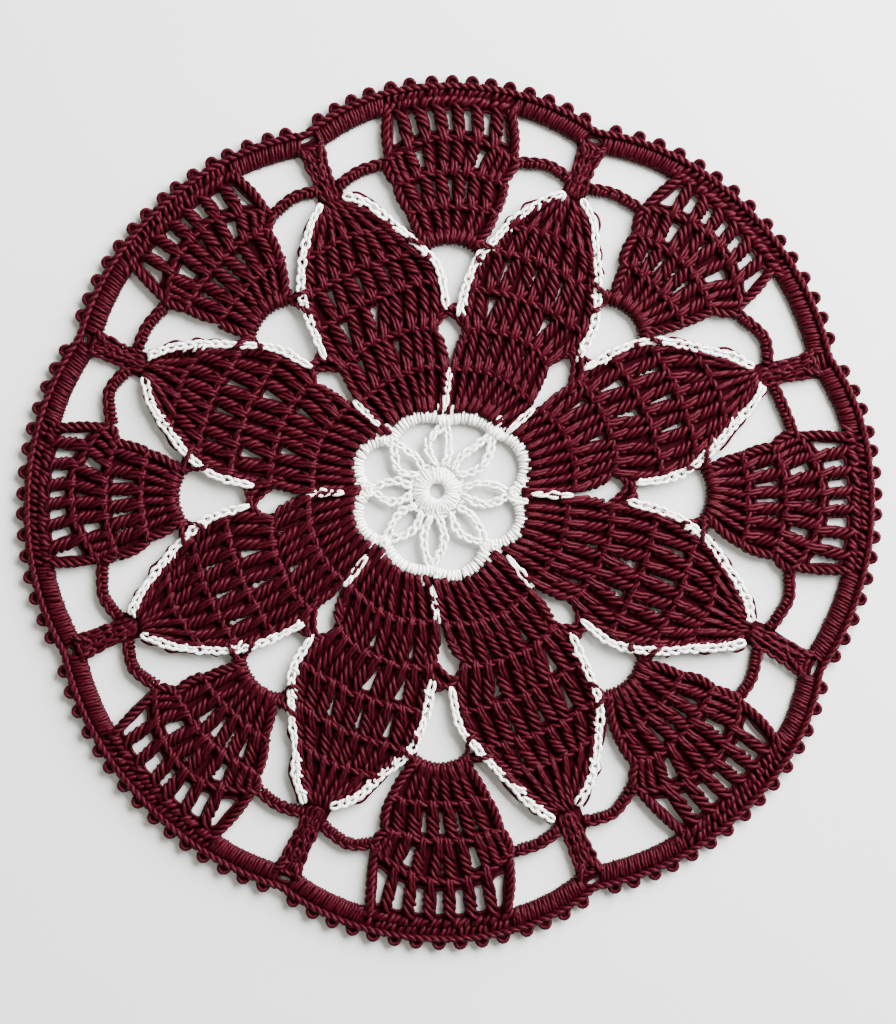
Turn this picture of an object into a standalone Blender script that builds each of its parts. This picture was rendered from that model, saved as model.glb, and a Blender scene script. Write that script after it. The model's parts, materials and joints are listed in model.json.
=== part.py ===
"""Crocheted cotton doily, laid flat: burgundy lace around a white eight-lobed medallion.

The doily is worked in rounds.  A white ring carries eight chain loops and eight arches.
A burgundy petal of treble rows grows from each arch, a burgundy fan of treble rows grows
between each two petals, and a scalloped rim with picots closes the lace.  White surface
chain is worked on top along both edges of every petal, and a short white bar below each
pair of edges.  Lengths in the tables are millimetres, turned into metres on building.

Every petal and fan is measured in its own upright frame: the frame is turned clockwise
from +Y about the doily's centre, r points outward and x points clockwise.  The doily
stands on z = 0 with its centre at the origin.
"""
from collections import namedtuple
from math import atan2, cos, degrees, hypot, pi, radians, sin

import bpy
from mathutils import Vector

# ---------------------------------------------------------------- driving sizes (mm)
SECTORS = 8                  # petals, and as many fans
FAN_STEP = 360.0 / SECTORS   # degrees from one fan to the next
PETAL_TURN = FAN_STEP / 2    # petal k stands half a step clockwise from fan k
SHEET = 1.8                  # thickness of the crocheted sheet
CHAIN_WIDTH = 2.4            # width of a surface chain
CHAIN_THICK = 1.1            # height of a surface chain above its gap
GAP = 0.3                    # clearance between two separate pieces
POST = 2.6                   # width of one treble post
BAND = 5.9                   # width of the rim, without picots
CORD = 2.4                   # width of a bridge between fan and petal
PILLAR = 5.4                 # width of a pillar between petal tip and rim
PICOTS = 15                  # picots between two pillars
PICOT_HEIGHT = 2.1
PICOT_WIDTH = 2.9
PICOT_CLEAR = 2.4            # degrees left plain on each side of a pillar
SCALLOP_POWER = 2.3          # roundness of each scallop of the rim
SLOT_HALF = 3.2              # half the width of the slot between two petals
ARCH_BAND = 2.8              # width of the white arches
LOOP_HALF = 3.0              # half the width of a white chain loop
RING_CENTRE = (-3.25, 5.0)
RING_OUTER = 6.6
RING_HOLE = 1.9
BASE_HALF = 6.3              # half the width of the foot of a fan
EDGE_REACH = 0.4 * CHAIN_WIDTH   # from a chain's middle line to the edge of the lace below it
SIDE_REACH = POST / 3        # from a fan's outer stitches to its edge
RUNGS = (0.16, 0.5, 0.84)    # heights at which a gap between two trebles is measured
PINCH = 0.44                 # the most that a treble covers of the way to the next one
MM = 0.001

# Small openings around their middle: beside each joint, and above each pillar.
JOINT_GAP_AT = (4.6, -2.6)
JOINT_GAP = ((-1.6, 1.4), (1.5, 1.2), (0.4, -2.2))
PILLAR_GAP = ((-2.4, 0.0), (-1.0, 0.9), (1.2, 0.7), (2.4, -0.5), (0.8, -0.8), (-1.0, -0.7))
# Width of a chain loop, as a share of its widest, from the ring to the cusp.
LOOP_SHAPE = (0.45, 0.85, 1.0, 0.75, 0.3)
LOOP_SLIT = 0.32             # width of a loop's slit as a share of the loop

# ---------------------------------------------------------------- rows of the pattern
# One row for each fan, clockwise from the top.  joint: where two petals meet below the
# fan; base: middle of the fan's foot; row_1 to row_3: tops of its rows of trebles.
Fan = namedtuple("Fan", "joint_x joint_r base_x base_r row_1 row_2 row_3")
FANS = (
    Fan(0.0, 50.75, 0.0, 67.0, 75.75, 84.5, 93.0),
    Fan(-4.5, 50.0, -3.0, 66.25, 75.75, 84.5, 94.0),
    Fan(-5.0, 45.75, -4.5, 64.5, 74.25, 83.75, 92.75),
    Fan(-2.0, 44.25, -1.25, 61.25, 71.25, 80.5, 90.5),
    Fan(1.25, 43.75, 2.5, 63.25, 73.0, 82.5, 92.5),
    Fan(3.0, 46.75, 3.75, 64.5, 74.25, 83.25, 92.5),
    Fan(3.0, 50.0, 3.75, 68.0, 77.0, 86.25, 94.5),
    Fan(2.5, 50.0, 2.0, 67.0, 75.5, 85.0, 93.75),
)
# Left and right edge of each fan: at row 1, at row 2, where the bridges meet it (x, r),
# and at the rim.
FanSide = namedtuple(
    "FanSide", "left_1 right_1 left_2 right_2 left_x left_r right_x right_r left_top right_top")
FAN_SIDES = (
    FanSide(-10.75, 12.0, -14.0, 13.5, -16.5, 86.75, 17.0, 87.0, -16.5, 15.75),
    FanSide(-14.25, 8.75, -16.5, 11.25, -20.0, 86.75, 16.25, 85.5, -19.0, 15.25),
    FanSide(-14.5, 9.5, -17.0, 11.5, -20.0, 85.5, 15.0, 84.5, -19.25, 15.5),
    FanSide(-12.5, 11.25, -15.5, 12.5, -18.5, 83.75, 17.0, 81.0, -17.5, 16.75),
    FanSide(-10.0, 15.5, -13.0, 16.5, -16.0, 85.0, 20.0, 83.0, -15.25, 21.25),
    FanSide(-8.75, 15.0, -13.0, 17.25, -15.5, 83.0, 21.25, 82.75, -16.5, 21.25),
    FanSide(-8.0, 15.5, -11.5, 18.0, -13.25, 86.75, 22.0, 84.5, -13.75, 22.0),
    FanSide(-8.0, 15.5, -11.5, 18.0, -13.75, 86.5, 21.5, 83.5, -13.0, 21.75),
)
# Slot below each fan, between two petals, and the inner end of the white bar below it.
Slot = namedtuple("Slot", "bottom_x bottom_r top_x top_r bar_x bar_r")
SLOTS = (
    Slot(0.0, 35.5, 0.0, 49.0, -1.25, 26.5),
    Slot(-3.25, 32.0, -5.5, 48.25, -3.75, 25.0),
    Slot(-3.75, 30.5, -6.25, 43.75, -4.25, 21.5),
    Slot(-1.25, 27.5, -2.0, 42.0, -2.0, 19.5),
    Slot(3.0, 27.5, -0.5, 41.5, 4.25, 20.0),
    Slot(5.5, 31.25, 2.0, 45.0, 6.5, 23.75),
    Slot(4.5, 35.5, 1.25, 48.75, 4.5, 27.5),
    Slot(2.5, 35.75, 1.25, 48.0, 2.5, 28.25),
)
# One row for each petal, clockwise from the one right of the top fan: the middle of its
# foot on the arch, the tops of its rows on the axis, and its tip.
Petal = namedtuple("Petal", "foot_x row_1 row_2 row_3 row_4 row_5 tip_x tip_r")
PETALS = (
    Petal(-2.0, 35.75, 46.0, 55.5, 65.5, 73.0, -2.0, 84.0),
    Petal(-4.5, 33.75, 44.5, 54.5, 63.75, 73.0, -2.0, 83.75),
    Petal(-1.25, 28.75, 39.5, 50.0, 60.75, 68.75, -1.0, 80.5),
    Petal(1.25, 28.75, 39.5, 49.5, 59.5, 67.5, 2.0, 80.5),
    Petal(5.0, 30.0, 40.75, 51.25, 60.75, 69.5, 2.25, 80.75),
    Petal(6.25, 34.25, 44.5, 54.5, 63.75, 72.5, 4.0, 83.0),
    Petal(3.75, 36.75, 47.0, 56.25, 65.5, 74.25, 4.25, 84.0),
    Petal(0.0, 36.25, 46.25, 56.25, 64.5, 73.0, 2.25, 83.0),
)
# Middle line of the white chain on the left and on the right edge of each petal (x, r):
# foot at the joint, waist, join where a fan's foot is tied on, shoulder, high and tip.
Edge = namedtuple("Edge", "foot waist join shoulder high tip")
LEFT_EDGES = (
    Edge((-17.0, 47.0), (-18.0, 58.0), (-16.25, 64.5), (-13.5, 72.0), (-8.75, 79.5), (-4.5, 83.75)),
    Edge((-20.0, 45.5), (-21.0, 55.5), (-19.5, 63.75), (-14.25, 72.0), (-9.0, 79.25), (-4.5, 83.25)),
    Edge((-19.25, 41.0), (-20.25, 51.5), (-18.5, 60.5), (-13.75, 68.75), (-8.75, 76.0), (-3.75, 79.75)),
    Edge((-16.25, 40.75), (-16.5, 50.0), (-16.0, 58.5), (-12.5, 66.25), (-8.0, 74.0), (-1.5, 79.5)),
    Edge((-12.5, 41.5), (-14.25, 53.0), (-13.5, 60.0), (-9.5, 67.25), (-5.75, 75.0), (-1.0, 79.25)),
    Edge((-12.0, 45.5), (-12.5, 55.0), (-11.25, 63.5), (-8.0, 71.0), (-4.5, 77.0), (0.75, 82.5)),
    Edge((-13.25, 48.75), (-14.25, 57.5), (-12.25, 65.5), (-8.5, 72.25), (-4.75, 78.0), (1.25, 83.0)),
    Edge((-14.25, 48.0), (-14.25, 57.0), (-13.5, 64.25), (-10.5, 71.0), (-5.5, 78.25), (-0.75, 82.5)),
)
RIGHT_EDGES = (
    Edge((15.0, 48.0), (15.5, 56.25), (12.75, 65.5), (9.5, 72.5), (5.5, 80.0), (1.0, 84.0)),
    Edge((11.75, 46.75), (13.5, 55.5), (11.5, 64.5), (8.25, 71.5), (5.0, 78.75), (1.5, 83.75)),
    Edge((13.0, 42.0), (15.0, 50.5), (12.75, 60.5), (8.75, 68.75), (5.25, 76.0), (2.25, 80.0)),
    Edge((16.75, 41.75), (18.25, 50.5), (15.5, 60.0), (12.5, 67.25), (9.5, 75.0), (5.75, 80.75)),
    Edge((20.0, 43.0), (21.0, 51.5), (17.5, 61.25), (13.25, 68.75), (10.25, 75.75), (6.0, 80.75)),
    Edge((20.5, 46.75), (21.25, 55.5), (19.0, 64.0), (15.0, 71.75), (11.25, 78.0), (7.25, 83.25)),
    Edge((20.0, 46.75), (20.75, 55.5), (18.0, 64.5), (15.0, 72.5), (11.75, 78.5), (7.25, 84.0)),
    Edge((18.75, 48.0), (20.5, 57.0), (17.5, 65.5), (13.75, 72.5), (10.5, 78.5), (5.75, 82.5)),
)
# Pillar on each petal's tip, in the petal's frame: its middle at the foot and at the rim.
Pillar = namedtuple("Pillar", "foot_x top_x top_r")
PILLARS = (
    Pillar(-1.75, -2.0, 97.25),
    Pillar(-1.0, 0.75, 97.75),
    Pillar(-0.75, 1.25, 97.0),
    Pillar(2.25, 2.25, 97.0),
    Pillar(2.25, 3.0, 98.5),
    Pillar(3.75, 4.0, 99.0),
    Pillar(4.25, 4.75, 98.5),
    Pillar(2.25, 2.5, 97.25),
)
# Bridges from each pillar's foot to the fan on its left and on its right (x, r).
Bridge = namedtuple("Bridge", "left_near left_mid right_near right_mid")
BRIDGES = (
    Bridge((-4.5, 88.0), (-10.5, 89.0), (1.0, 87.5), (7.5, 88.75)),
    Bridge((-4.0, 87.5), (-10.0, 89.0), (1.5, 86.5), (7.5, 86.75)),
    Bridge((-3.75, 85.0), (-12.0, 86.5), (2.0, 84.0), (9.5, 85.5)),
    Bridge((-1.5, 84.5), (-8.75, 85.25), (5.5, 84.0), (11.25, 85.25)),
    Bridge((-0.75, 84.75), (-8.0, 86.5), (5.5, 83.75), (11.5, 84.25)),
    Bridge((0.75, 86.75), (-6.0, 88.0), (7.25, 86.5), (13.5, 88.0)),
    Bridge((1.5, 88.0), (-5.0, 90.0), (7.5, 87.5), (13.5, 87.5)),
    Bridge((-0.5, 86.5), (-6.0, 87.25), (5.5, 85.75), (11.5, 87.0)),
)
# Outer radius of the rim at each pillar and at each scallop's crown, and the degrees by
# which the crown lies clockwise of its fan.
Rim = namedtuple("Rim", "crown crown_turn pillar")
RIMS = (
    Rim(107.0, -1.0, 102.25),
    Rim(106.5, -2.0, 103.0),
    Rim(106.25, -6.0, 101.5),
    Rim(105.5, -3.0, 101.5),
    Rim(107.75, 2.5, 103.75),
    Rim(106.25, 2.0, 103.5),
    Rim(106.5, 1.0, 103.0),
    Rim(105.75, -1.0, 101.5),
)
# White medallion in doily coordinates: the cusp of each arch, the crown of the arch that
# follows it clockwise, and the middle of the chain loop below the cusp.
Lobe = namedtuple("Lobe", "cusp crown loop")
LOBES = (
    Lobe((-1.25, 22.25), (5.0, 24.25), (-3.0, 16.0)),
    Lobe((11.25, 19.25), (19.75, 12.75), (6.25, 13.0)),
    Lobe((15.25, 4.25), (18.75, -3.0), (9.5, 4.25)),
    Lobe((8.75, -8.25), (3.25, -17.0), (4.25, -3.75)),
    Lobe((-4.75, -14.5), (-10.5, -15.5), (-4.0, -7.5)),
    Lobe((-16.0, -7.5), (-24.0, -2.5), (-11.25, -3.0)),
    Lobe((-19.75, 5.25), (-23.75, 13.5), (-14.5, 4.75)),
    Lobe((-14.5, 17.25), (-7.0, 24.75), (-10.5, 11.5)),
)

# ---------------------------------------------------------------- stitch charts
# Where each treble of a row stands on the row below and on the row above, from -1 at the
# left edge to 1 at the right edge, and how many of its widest gaps are open.
Row = namedtuple("Row", "below above open_gaps")
FAN_CHART = (
    Row((-0.9, -0.64, -0.38, -0.13, 0.13, 0.38, 0.64, 0.9),
        (-0.93, -0.67, -0.4, -0.13, 0.13, 0.4, 0.67, 0.93), 0),
    Row((-0.94, -0.72, -0.44, -0.16, 0.15, 0.45, 0.72, 0.94),
        (-0.96, -0.76, -0.46, -0.16, 0.16, 0.48, 0.76, 0.96), 4),
    Row((-0.94, -0.86, -0.75, -0.61, -0.27, -0.09, 0.09, 0.27, 0.6, 0.75, 0.86, 0.94),
        (-0.97, -0.89, -0.79, -0.66, -0.36, -0.13, 0.12, 0.36, 0.66, 0.79, 0.89, 0.97), 3),
    Row((-0.98, -0.58, -0.36, -0.1, 0.14, 0.42, 0.62, 0.98),
        (-0.97, -0.76, -0.46, -0.16, 0.12, 0.44, 0.76, 0.97), 7),
)
PETAL_CHART = (
    Row((0.12, 0.22, 0.31, 0.4, 0.5, 0.6, 0.69, 0.78, 0.88),
        (-0.92, -0.7, -0.48, -0.25, 0.0, 0.25, 0.48, 0.7, 0.92), 0),
    Row((-0.9, -0.7, -0.5, -0.3, -0.1, 0.1, 0.32, 0.54, 0.88),
        (-0.94, -0.78, -0.62, -0.44, -0.27, 0.2, 0.38, 0.6, 0.92), 2),
    Row((-0.92, -0.72, -0.52, -0.32, -0.11, 0.11, 0.32, 0.52, 0.72, 0.92),
        (-0.93, -0.74, -0.54, -0.35, -0.15, 0.15, 0.35, 0.54, 0.74, 0.93), 1),
    Row((-0.92, -0.7, -0.4, -0.17, 0.07, 0.28, 0.6, 0.88),
        (-0.92, -0.68, -0.42, -0.17, 0.08, 0.3, 0.62, 0.9), 3),
    Row((-0.9, -0.68, -0.44, -0.19, 0.13, 0.38, 0.62, 0.88),
        (-0.88, -0.64, -0.38, -0.16, 0.12, 0.36, 0.6, 0.86), 2),
    Row((-0.82, -0.52, -0.22, 0.3, 0.72),
        (-0.9, -0.6, -0.3, 0.3, 0.8), 1),
)
FAN_SAG = (1.6, 1.6, 3.4)            # how far a row's ends hang below its middle
PETAL_SAG = (3.6, 3.2, 2.4, 2.0, 2.0)
FAN_HEAD_POWER = 2.2                 # roundness of the third row, which ends at the bridges
TIP_HALF = 2.2                       # half the width of a petal's tip


# ---------------------------------------------------------------- plane geometry
def turned(turn, point):
    """A point (x, r) of a frame turned clockwise by turn degrees, in doily coordinates."""
    x, r = point
    angle = radians(turn)
    return (x * cos(angle) + r * sin(angle), r * cos(angle) - x * sin(angle))


def fan_turn(k):
    return FAN_STEP * (k % SECTORS)


def petal_turn(k):
    return FAN_STEP * (k % SECTORS) + PETAL_TURN


def mixed(a, b, share):
    return tuple(p + (q - p) * share for p, q in zip(a, b))


def softened(points):
    """An open line with one more point in each span, on a Catmull-Rom curve."""
    result = [points[0]]
    last = len(points) - 1
    for i in range(last):
        before = points[max(i - 1, 0)]
        a, b = points[i], points[i + 1]
        after = points[min(i + 2, last)]
        middle = tuple((9 * (p + q) - s - t) / 16 for s, p, q, t in zip(before, a, b, after))
        result += [middle, b]
    return result


def shifted(points, distance):
    """An open line moved sideways by distance, to its left as one walks along it."""
    result = []
    for i, point in enumerate(points):
        a = points[max(i - 1, 0)]
        b = points[min(i + 1, len(points) - 1)]
        dx, dy = b[0] - a[0], b[1] - a[1]
        length = hypot(dx, dy)
        result.append((point[0] - dy / length * distance, point[1] + dx / length * distance))
    return result


def arc_through(a, crown, b, steps):
    """Points of the circle through a, crown and b, from a to b."""
    ax, ay, bx, by, cx, cy = *a, *crown, *b
    d = 2 * (ax * (by - cy) + bx * (cy - ay) + cx * (ay - by))
    sa, sb, sc = ax * ax + ay * ay, bx * bx + by * by, cx * cx + cy * cy
    ux = (sa * (by - cy) + sb * (cy - ay) + sc * (ay - by)) / d
    uy = (sa * (cx - bx) + sb * (ax - cx) + sc * (bx - ax)) / d
    radius = hypot(ax - ux, ay - uy)
    start = atan2(ay - uy, ax - ux)
    sweep = (atan2(cy - uy, cx - ux) - start) % (2 * pi) - 2 * pi
    return [(ux + radius * cos(start + sweep * i / steps), uy + radius * sin(start + sweep * i / steps))
            for i in range(steps + 1)]


def x_at(line, r):
    """The x of an open line at height r, for a line whose r grows."""
    for (x0, r0), (x1, r1) in zip(line, line[1:]):
        if r <= r1:
            return x0 + (x1 - x0) * (r - r0) / (r1 - r0)
    return line[-1][0]


def to_petal(k, fan, point):
    """A point of a fan's frame in petal k's frame."""
    return turned(fan_turn(fan) - petal_turn(k), point)


# ---------------------------------------------------------------- rim
def pillar_angle(k):
    pillar = PILLARS[k % SECTORS]
    return petal_turn(k) + degrees(atan2(pillar.top_x, pillar.top_r))


def rim_radius(angle):
    """Outer radius of the rim at an angle in degrees: a scallop over each fan."""
    for k in range(SECTORS):
        rim = RIMS[k]
        crown = fan_turn(k) + rim.crown_turn
        away = (angle - crown + 180) % 360 - 180
        next_pillar = k if away >= 0 else k - 1
        reach = (pillar_angle(next_pillar) - crown + 180) % 360 - 180
        share = away / reach
        if share <= 1:
            low = RIMS[next_pillar % SECTORS].pillar
            return low + (rim.crown - low) * (1 - share ** SCALLOP_POWER)
    raise ValueError(angle)


def rim_point(angle, inset):
    return turned(angle, (0.0, rim_radius(angle) - inset))


def rim_at(turn, x, inset):
    """The rim's point that lies at x in a turned frame, moved inward by inset."""
    radius = rim_radius(turn)
    for _ in range(3):
        radius = rim_radius(turn + degrees(atan2(x, radius)))
    angle = turn + degrees(atan2(x, radius - inset))
    return rim_point(angle, inset)


def outline():
    """The doily's outer edge: one flat-topped bump for each picot."""
    points = []
    for k in range(SECTORS):
        start = pillar_angle(k - 1)
        span = (pillar_angle(k) - start) % 360
        step = (span - 2 * PICOT_CLEAR) / (PICOTS - 1)
        points.append(rim_point(start, 0.0))
        for i in range(PICOTS):
            angle = start + PICOT_CLEAR + step * i
            foot = degrees(PICOT_WIDTH / 2 / rim_radius(angle))
            points.append(rim_point(angle - foot, 0.0))
            points.append(rim_point(angle - foot * 0.55, -PICOT_HEIGHT))
            points.append(rim_point(angle + foot * 0.55, -PICOT_HEIGHT))
            points.append(rim_point(angle + foot, 0.0))
    return points


# ---------------------------------------------------------------- petals and fans
def slot_sides(k):
    """The left and the right side of slot k, in the fan's frame, from bottom to top."""
    slot = SLOTS[k % SECTORS]
    bottom, top = (slot.bottom_x, slot.bottom_r), (slot.top_x, slot.top_r)
    (x, r), (upper_x, upper_r) = mixed(bottom, top, 0.4), mixed(bottom, top, 0.75)
    left = [bottom, (x - 0.75 * SLOT_HALF, r), (upper_x - SLOT_HALF, upper_r)]
    right = [bottom, (x + 0.75 * SLOT_HALF, r), (upper_x + 1.2 * SLOT_HALF, upper_r - 1.5)]
    return left, right


def petal_line(k, side):
    """One whole edge of petal k, in its frame, from the medallion to the tip."""
    fan = k if side < 0 else k + 1
    slot = SLOTS[fan % SECTORS]
    left, right = slot_sides(fan)
    lower = [(slot.bar_x - side * CHAIN_WIDTH / 2, slot.bar_r)] + (right if side < 0 else left)
    edge = (LEFT_EDGES if side < 0 else RIGHT_EDGES)[k % SECTORS]
    return [to_petal(k, fan, point) for point in lower] + list(edge)


def arch(k):
    """Middle line of the white arch below petal k, in doily coordinates."""
    lobe, after = LOBES[k % SECTORS], LOBES[(k + 1) % SECTORS]
    outward = Vector(lobe.crown) - Vector(RING_CENTRE)
    crown = Vector(lobe.crown) - outward.normalized() * ARCH_BAND / 2
    return arc_through(lobe.cusp, tuple(crown), after.cusp, 8)


def petal_point(k, row, share):
    """A point on top of a petal's row, share running from -1 to 1 across the petal."""
    petal = PETALS[k % SECTORS]
    if row == 0:
        line = shifted(arch(k), ARCH_BAND / 2 + GAP)
        place = share * (len(line) - 1)
        i = min(int(place), len(line) - 2)
        return mixed(line[i], line[i + 1], place - i)
    if row == len(PETAL_CHART):
        return turned(petal_turn(k), (petal.tip_x + share * TIP_HALF, petal.tip_r))
    r = petal[row] - PETAL_SAG[row - 1] * share * share
    left, right = x_at(petal_line(k, -1), r), x_at(petal_line(k, 1), r)
    return turned(petal_turn(k), (left + (right - left) * (share + 1) / 2, r))


def fan_point(k, row, share):
    """A point on top of a fan's row, share running from -1 to 1 across the fan."""
    fan, side = FANS[k % SECTORS], FAN_SIDES[k % SECTORS]
    turn = fan_turn(k)
    if row == 0:
        return turned(turn, (fan.base_x + share * BASE_HALF, fan.base_r + 0.6 - FAN_SAG[0] * share ** 2))
    if row == 1:
        x = side.left_1 + (side.right_1 - side.left_1) * (share + 1) / 2
        return turned(turn, (x, fan.row_1 - FAN_SAG[1] * share ** 2))
    if row == 2:
        x = side.left_2 + (side.right_2 - side.left_2) * (share + 1) / 2
        return turned(turn, (x, fan.row_2 - FAN_SAG[2] * share ** 2))
    if row == 3:
        x = side.left_x + (side.right_x - side.left_x) * (share + 1) / 2
        end = side.left_r if share < 0 else side.right_r
        return turned(turn, (x, fan.row_3 + (end - fan.row_3) * abs(share) ** FAN_HEAD_POWER))
    x = side.left_top + (side.right_top - side.left_top) * (share + 1) / 2
    return rim_at(turn, x, BAND)


def stitch_gaps(point_on, k, chart):
    """The open gaps of one petal or fan, each between two trebles that stand apart."""
    gaps = []
    for row, (below, above, open_gaps) in enumerate(chart):
        posts = [(point_on(k, row, a), point_on(k, row + 1, b)) for a, b in zip(below, above)]
        found = []
        for left, right in zip(posts, posts[1:]):
            rungs = []
            for share in RUNGS:
                a, b = mixed(*left, share), mixed(*right, share)
                wide = hypot(b[0] - a[0], b[1] - a[1])
                inset = min(POST / 2 / wide, PINCH)
                rungs.append((mixed(a, b, inset), mixed(a, b, 1 - inset), wide - POST))
            lefts = [rung[0] for rung in rungs]
            rights = [rung[1] for rung in reversed(rungs)]
            found.append((max(rung[2] for rung in rungs), lefts + rights))
        found.sort(key=lambda item: -item[0])
        gaps += [gap for _, gap in found[:open_gaps]]
    return gaps


def fan_side(k, side):
    """One side of fan k from its foot to the bridge, in doily coordinates, moved outward."""
    line = [fan_point(k, row, side) for row in (1, 2, 3)]
    fan = FANS[k % SECTORS]
    line.insert(0, turned(fan_turn(k), (fan.base_x + side * 1.25 * BASE_HALF, fan.base_r + 1.5)))
    return shifted(line, -side * SIDE_REACH)


def petal_edge(k, side, stations):
    """The chosen stations of a petal's white chain, in doily coordinates."""
    edge = (LEFT_EDGES if side < 0 else RIGHT_EDGES)[k % SECTORS]
    return [turned(petal_turn(k), getattr(edge, name)) for name in stations.split()]


def bridge_line(k, side):
    """Middle line of a bridge from petal k's pillar to the fan beside it."""
    bridge = BRIDGES[k]
    near, mid = (bridge.left_near, bridge.left_mid) if side < 0 else (bridge.right_near, bridge.right_mid)
    fan = k if side < 0 else (k + 1) % SECTORS
    return [turned(petal_turn(k), near), turned(petal_turn(k), mid), fan_point(fan, 3, -side)]


# ---------------------------------------------------------------- openings of the lace
def inner_window(k, side):
    """The window between a petal's flank, the bridge and the side of the fan."""
    fan = k if side < 0 else k + 1
    flank = softened(petal_edge(k, side, "join shoulder high tip"))
    flank = shifted(flank, -side * EDGE_REACH)[1:]
    bridge = shifted(bridge_line(k, side), -side * CORD / 2)
    return flank + bridge[:2] + list(reversed(fan_side(fan, -side)))


def rim_window(k, side):
    """The window between a bridge, the pillar, the rim and the outer treble of the fan."""
    fan = k if side < 0 else k + 1
    turn = fan_turn(fan)
    sides = FAN_SIDES[fan % SECTORS]
    pillar = PILLARS[k]
    top_x = sides.right_top if side < 0 else sides.left_top
    foot_x = sides.right_x if side < 0 else sides.left_x
    foot_r = sides.right_r if side < 0 else sides.left_r
    post_top = rim_at(turn, top_x - side * POST / 2, BAND + 0.8)
    post_foot = turned(turn, (foot_x - side * POST * 0.6, foot_r + CORD))
    belly = turned(turn, ((top_x + foot_x) / 2 - side * (POST / 2 + 0.5), foot_r + 0.55 * (98.0 - foot_r)))
    bridge = shifted(bridge_line(k, side), side * CORD / 2)
    near_r = (BRIDGES[k].left_near if side < 0 else BRIDGES[k].right_near)[1]
    pillar_foot = turned(petal_turn(k), (pillar.foot_x + side * PILLAR * 0.42, near_r + 3.5))
    pillar_top = turned(petal_turn(k), (pillar.top_x + side * PILLAR * 0.6, pillar.top_r - 1.6))
    end = degrees(atan2(*post_top))
    start = pillar_angle(k) + side * 2.6
    sweep = (end - start + 180) % 360 - 180
    rim = [rim_point(start + sweep * share, BAND) for share in (0.0, 0.3, 0.6, 0.85)]
    return [pillar_foot, pillar_top] + rim + [post_top, belly, post_foot] + [bridge[1], bridge[0]]


def throat(k):
    """The opening below a fan's foot, between the white chains of two petals."""
    before = (k - 1) % SECTORS
    left = shifted(softened(petal_edge(before, 1, "foot waist join")), -EDGE_REACH)
    right = shifted(softened(petal_edge(k, -1, "foot waist join")), EDGE_REACH)
    fan = FANS[k]
    bottom = turned(fan_turn(k), (fan.joint_x, fan.joint_r + 1.0))
    crown = [turned(fan_turn(k), (fan.base_x + share * BASE_HALF, fan.base_r - 1.2 - 2.0 * share ** 2))
             for share in (-0.8, -0.4, 0.0, 0.4, 0.8)]
    return [bottom] + left[1:-2] + crown + list(reversed(right[1:-2]))


def slot_outline(k):
    left, right = slot_sides(k)
    slot = SLOTS[k]
    line = left + [(slot.top_x, slot.top_r)] + list(reversed(right[1:]))
    return [turned(fan_turn(k), point) for point in line]


def small_gaps(k):
    """The three-cornered gap beside a joint, and the gap above a pillar."""
    fan, pillar = FANS[k], PILLARS[k]
    x, r = fan.joint_x + JOINT_GAP_AT[0], fan.joint_r + JOINT_GAP_AT[1]
    beside = [turned(fan_turn(k), (x + dx, r + dr)) for dx, dr in JOINT_GAP]
    x, r = pillar.top_x, pillar.top_r
    above = [turned(petal_turn(k), (x + dx, r + dr)) for dx, dr in PILLAR_GAP]
    return [beside, above]


def medallion_edge(spare):
    """The medallion's outer edge, moved outward by spare: eight arches between cusps."""
    points = []
    for k in range(SECTORS):
        points += shifted(arch(k), ARCH_BAND / 2 + spare)[1:-1]
        cusp = Vector(LOBES[(k + 1) % SECTORS].cusp)
        outward = (cusp - Vector(RING_CENTRE)).normalized()
        points.append(tuple(cusp + outward * (ARCH_BAND / 2 + spare)))
    return points


# ---------------------------------------------------------------- medallion
def loop_sides(k, half):
    """Left and right side of the chain loop k, from the ring to the cusp."""
    lobe = LOBES[k % SECTORS]
    centre, cusp, middle = Vector(RING_CENTRE), Vector(lobe.cusp), Vector(lobe.loop)
    along = (cusp - centre).normalized()
    across = Vector((-along.y, along.x))
    foot = centre + along * RING_OUTER
    stations = (foot, (foot + middle) / 2, middle, (middle + cusp) / 2, cusp - along * ARCH_BAND / 2)
    left = [tuple(point + across * half * width) for point, width in zip(stations, LOOP_SHAPE)]
    right = [tuple(point - across * half * width) for point, width in zip(stations, LOOP_SHAPE)]
    return left, right


def arch_opening(k):
    """The hole inside an arch, between two chain loops and the ring."""
    inner = shifted(arch(k), -ARCH_BAND / 2)[1:-1]
    _, here = loop_sides(k, LOOP_HALF)
    there, _ = loop_sides(k + 1, LOOP_HALF)
    return here[:4] + inner + list(reversed(there[:4]))


def loop_slit(k):
    left, right = loop_sides(k, LOOP_HALF * LOOP_SLIT)
    return left[1:4] + list(reversed(right[1:4]))


def circle(centre, radius, steps):
    return [(centre[0] + radius * cos(2 * pi * i / steps), centre[1] + radius * sin(2 * pi * i / steps))
            for i in range(steps)]


# ---------------------------------------------------------------- building
def make_material(name, colour, roughness):
    material = bpy.data.materials.new(name)
    material.use_nodes = True
    shader = material.node_tree.nodes["Principled BSDF"]
    shader.inputs["Base Color"].default_value = (*colour, 1.0)
    shader.inputs["Roughness"].default_value = roughness
    shader.inputs["Metallic"].default_value = 0.0
    return material


def flat_piece(name, contours, bottom, thickness, material, collection):
    """A flat piece from its outer contour and its holes, filled and given its thickness."""
    curve = bpy.data.curves.new(name, "CURVE")
    curve.dimensions = "2D"
    curve.fill_mode = "BOTH"
    curve.extrude = thickness / 2 * MM
    for contour in contours:
        spline = curve.splines.new("POLY")
        spline.points.add(len(contour) - 1)
        for target, (x, y) in zip(spline.points, contour):
            target.co = (x * MM, y * MM, 0.0, 1.0)
        spline.use_cyclic_u = True
    piece = bpy.data.objects.new(name, curve)
    piece.location.z = (bottom + thickness / 2) * MM
    curve.materials.append(material)
    collection.objects.link(piece)
    return piece


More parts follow.
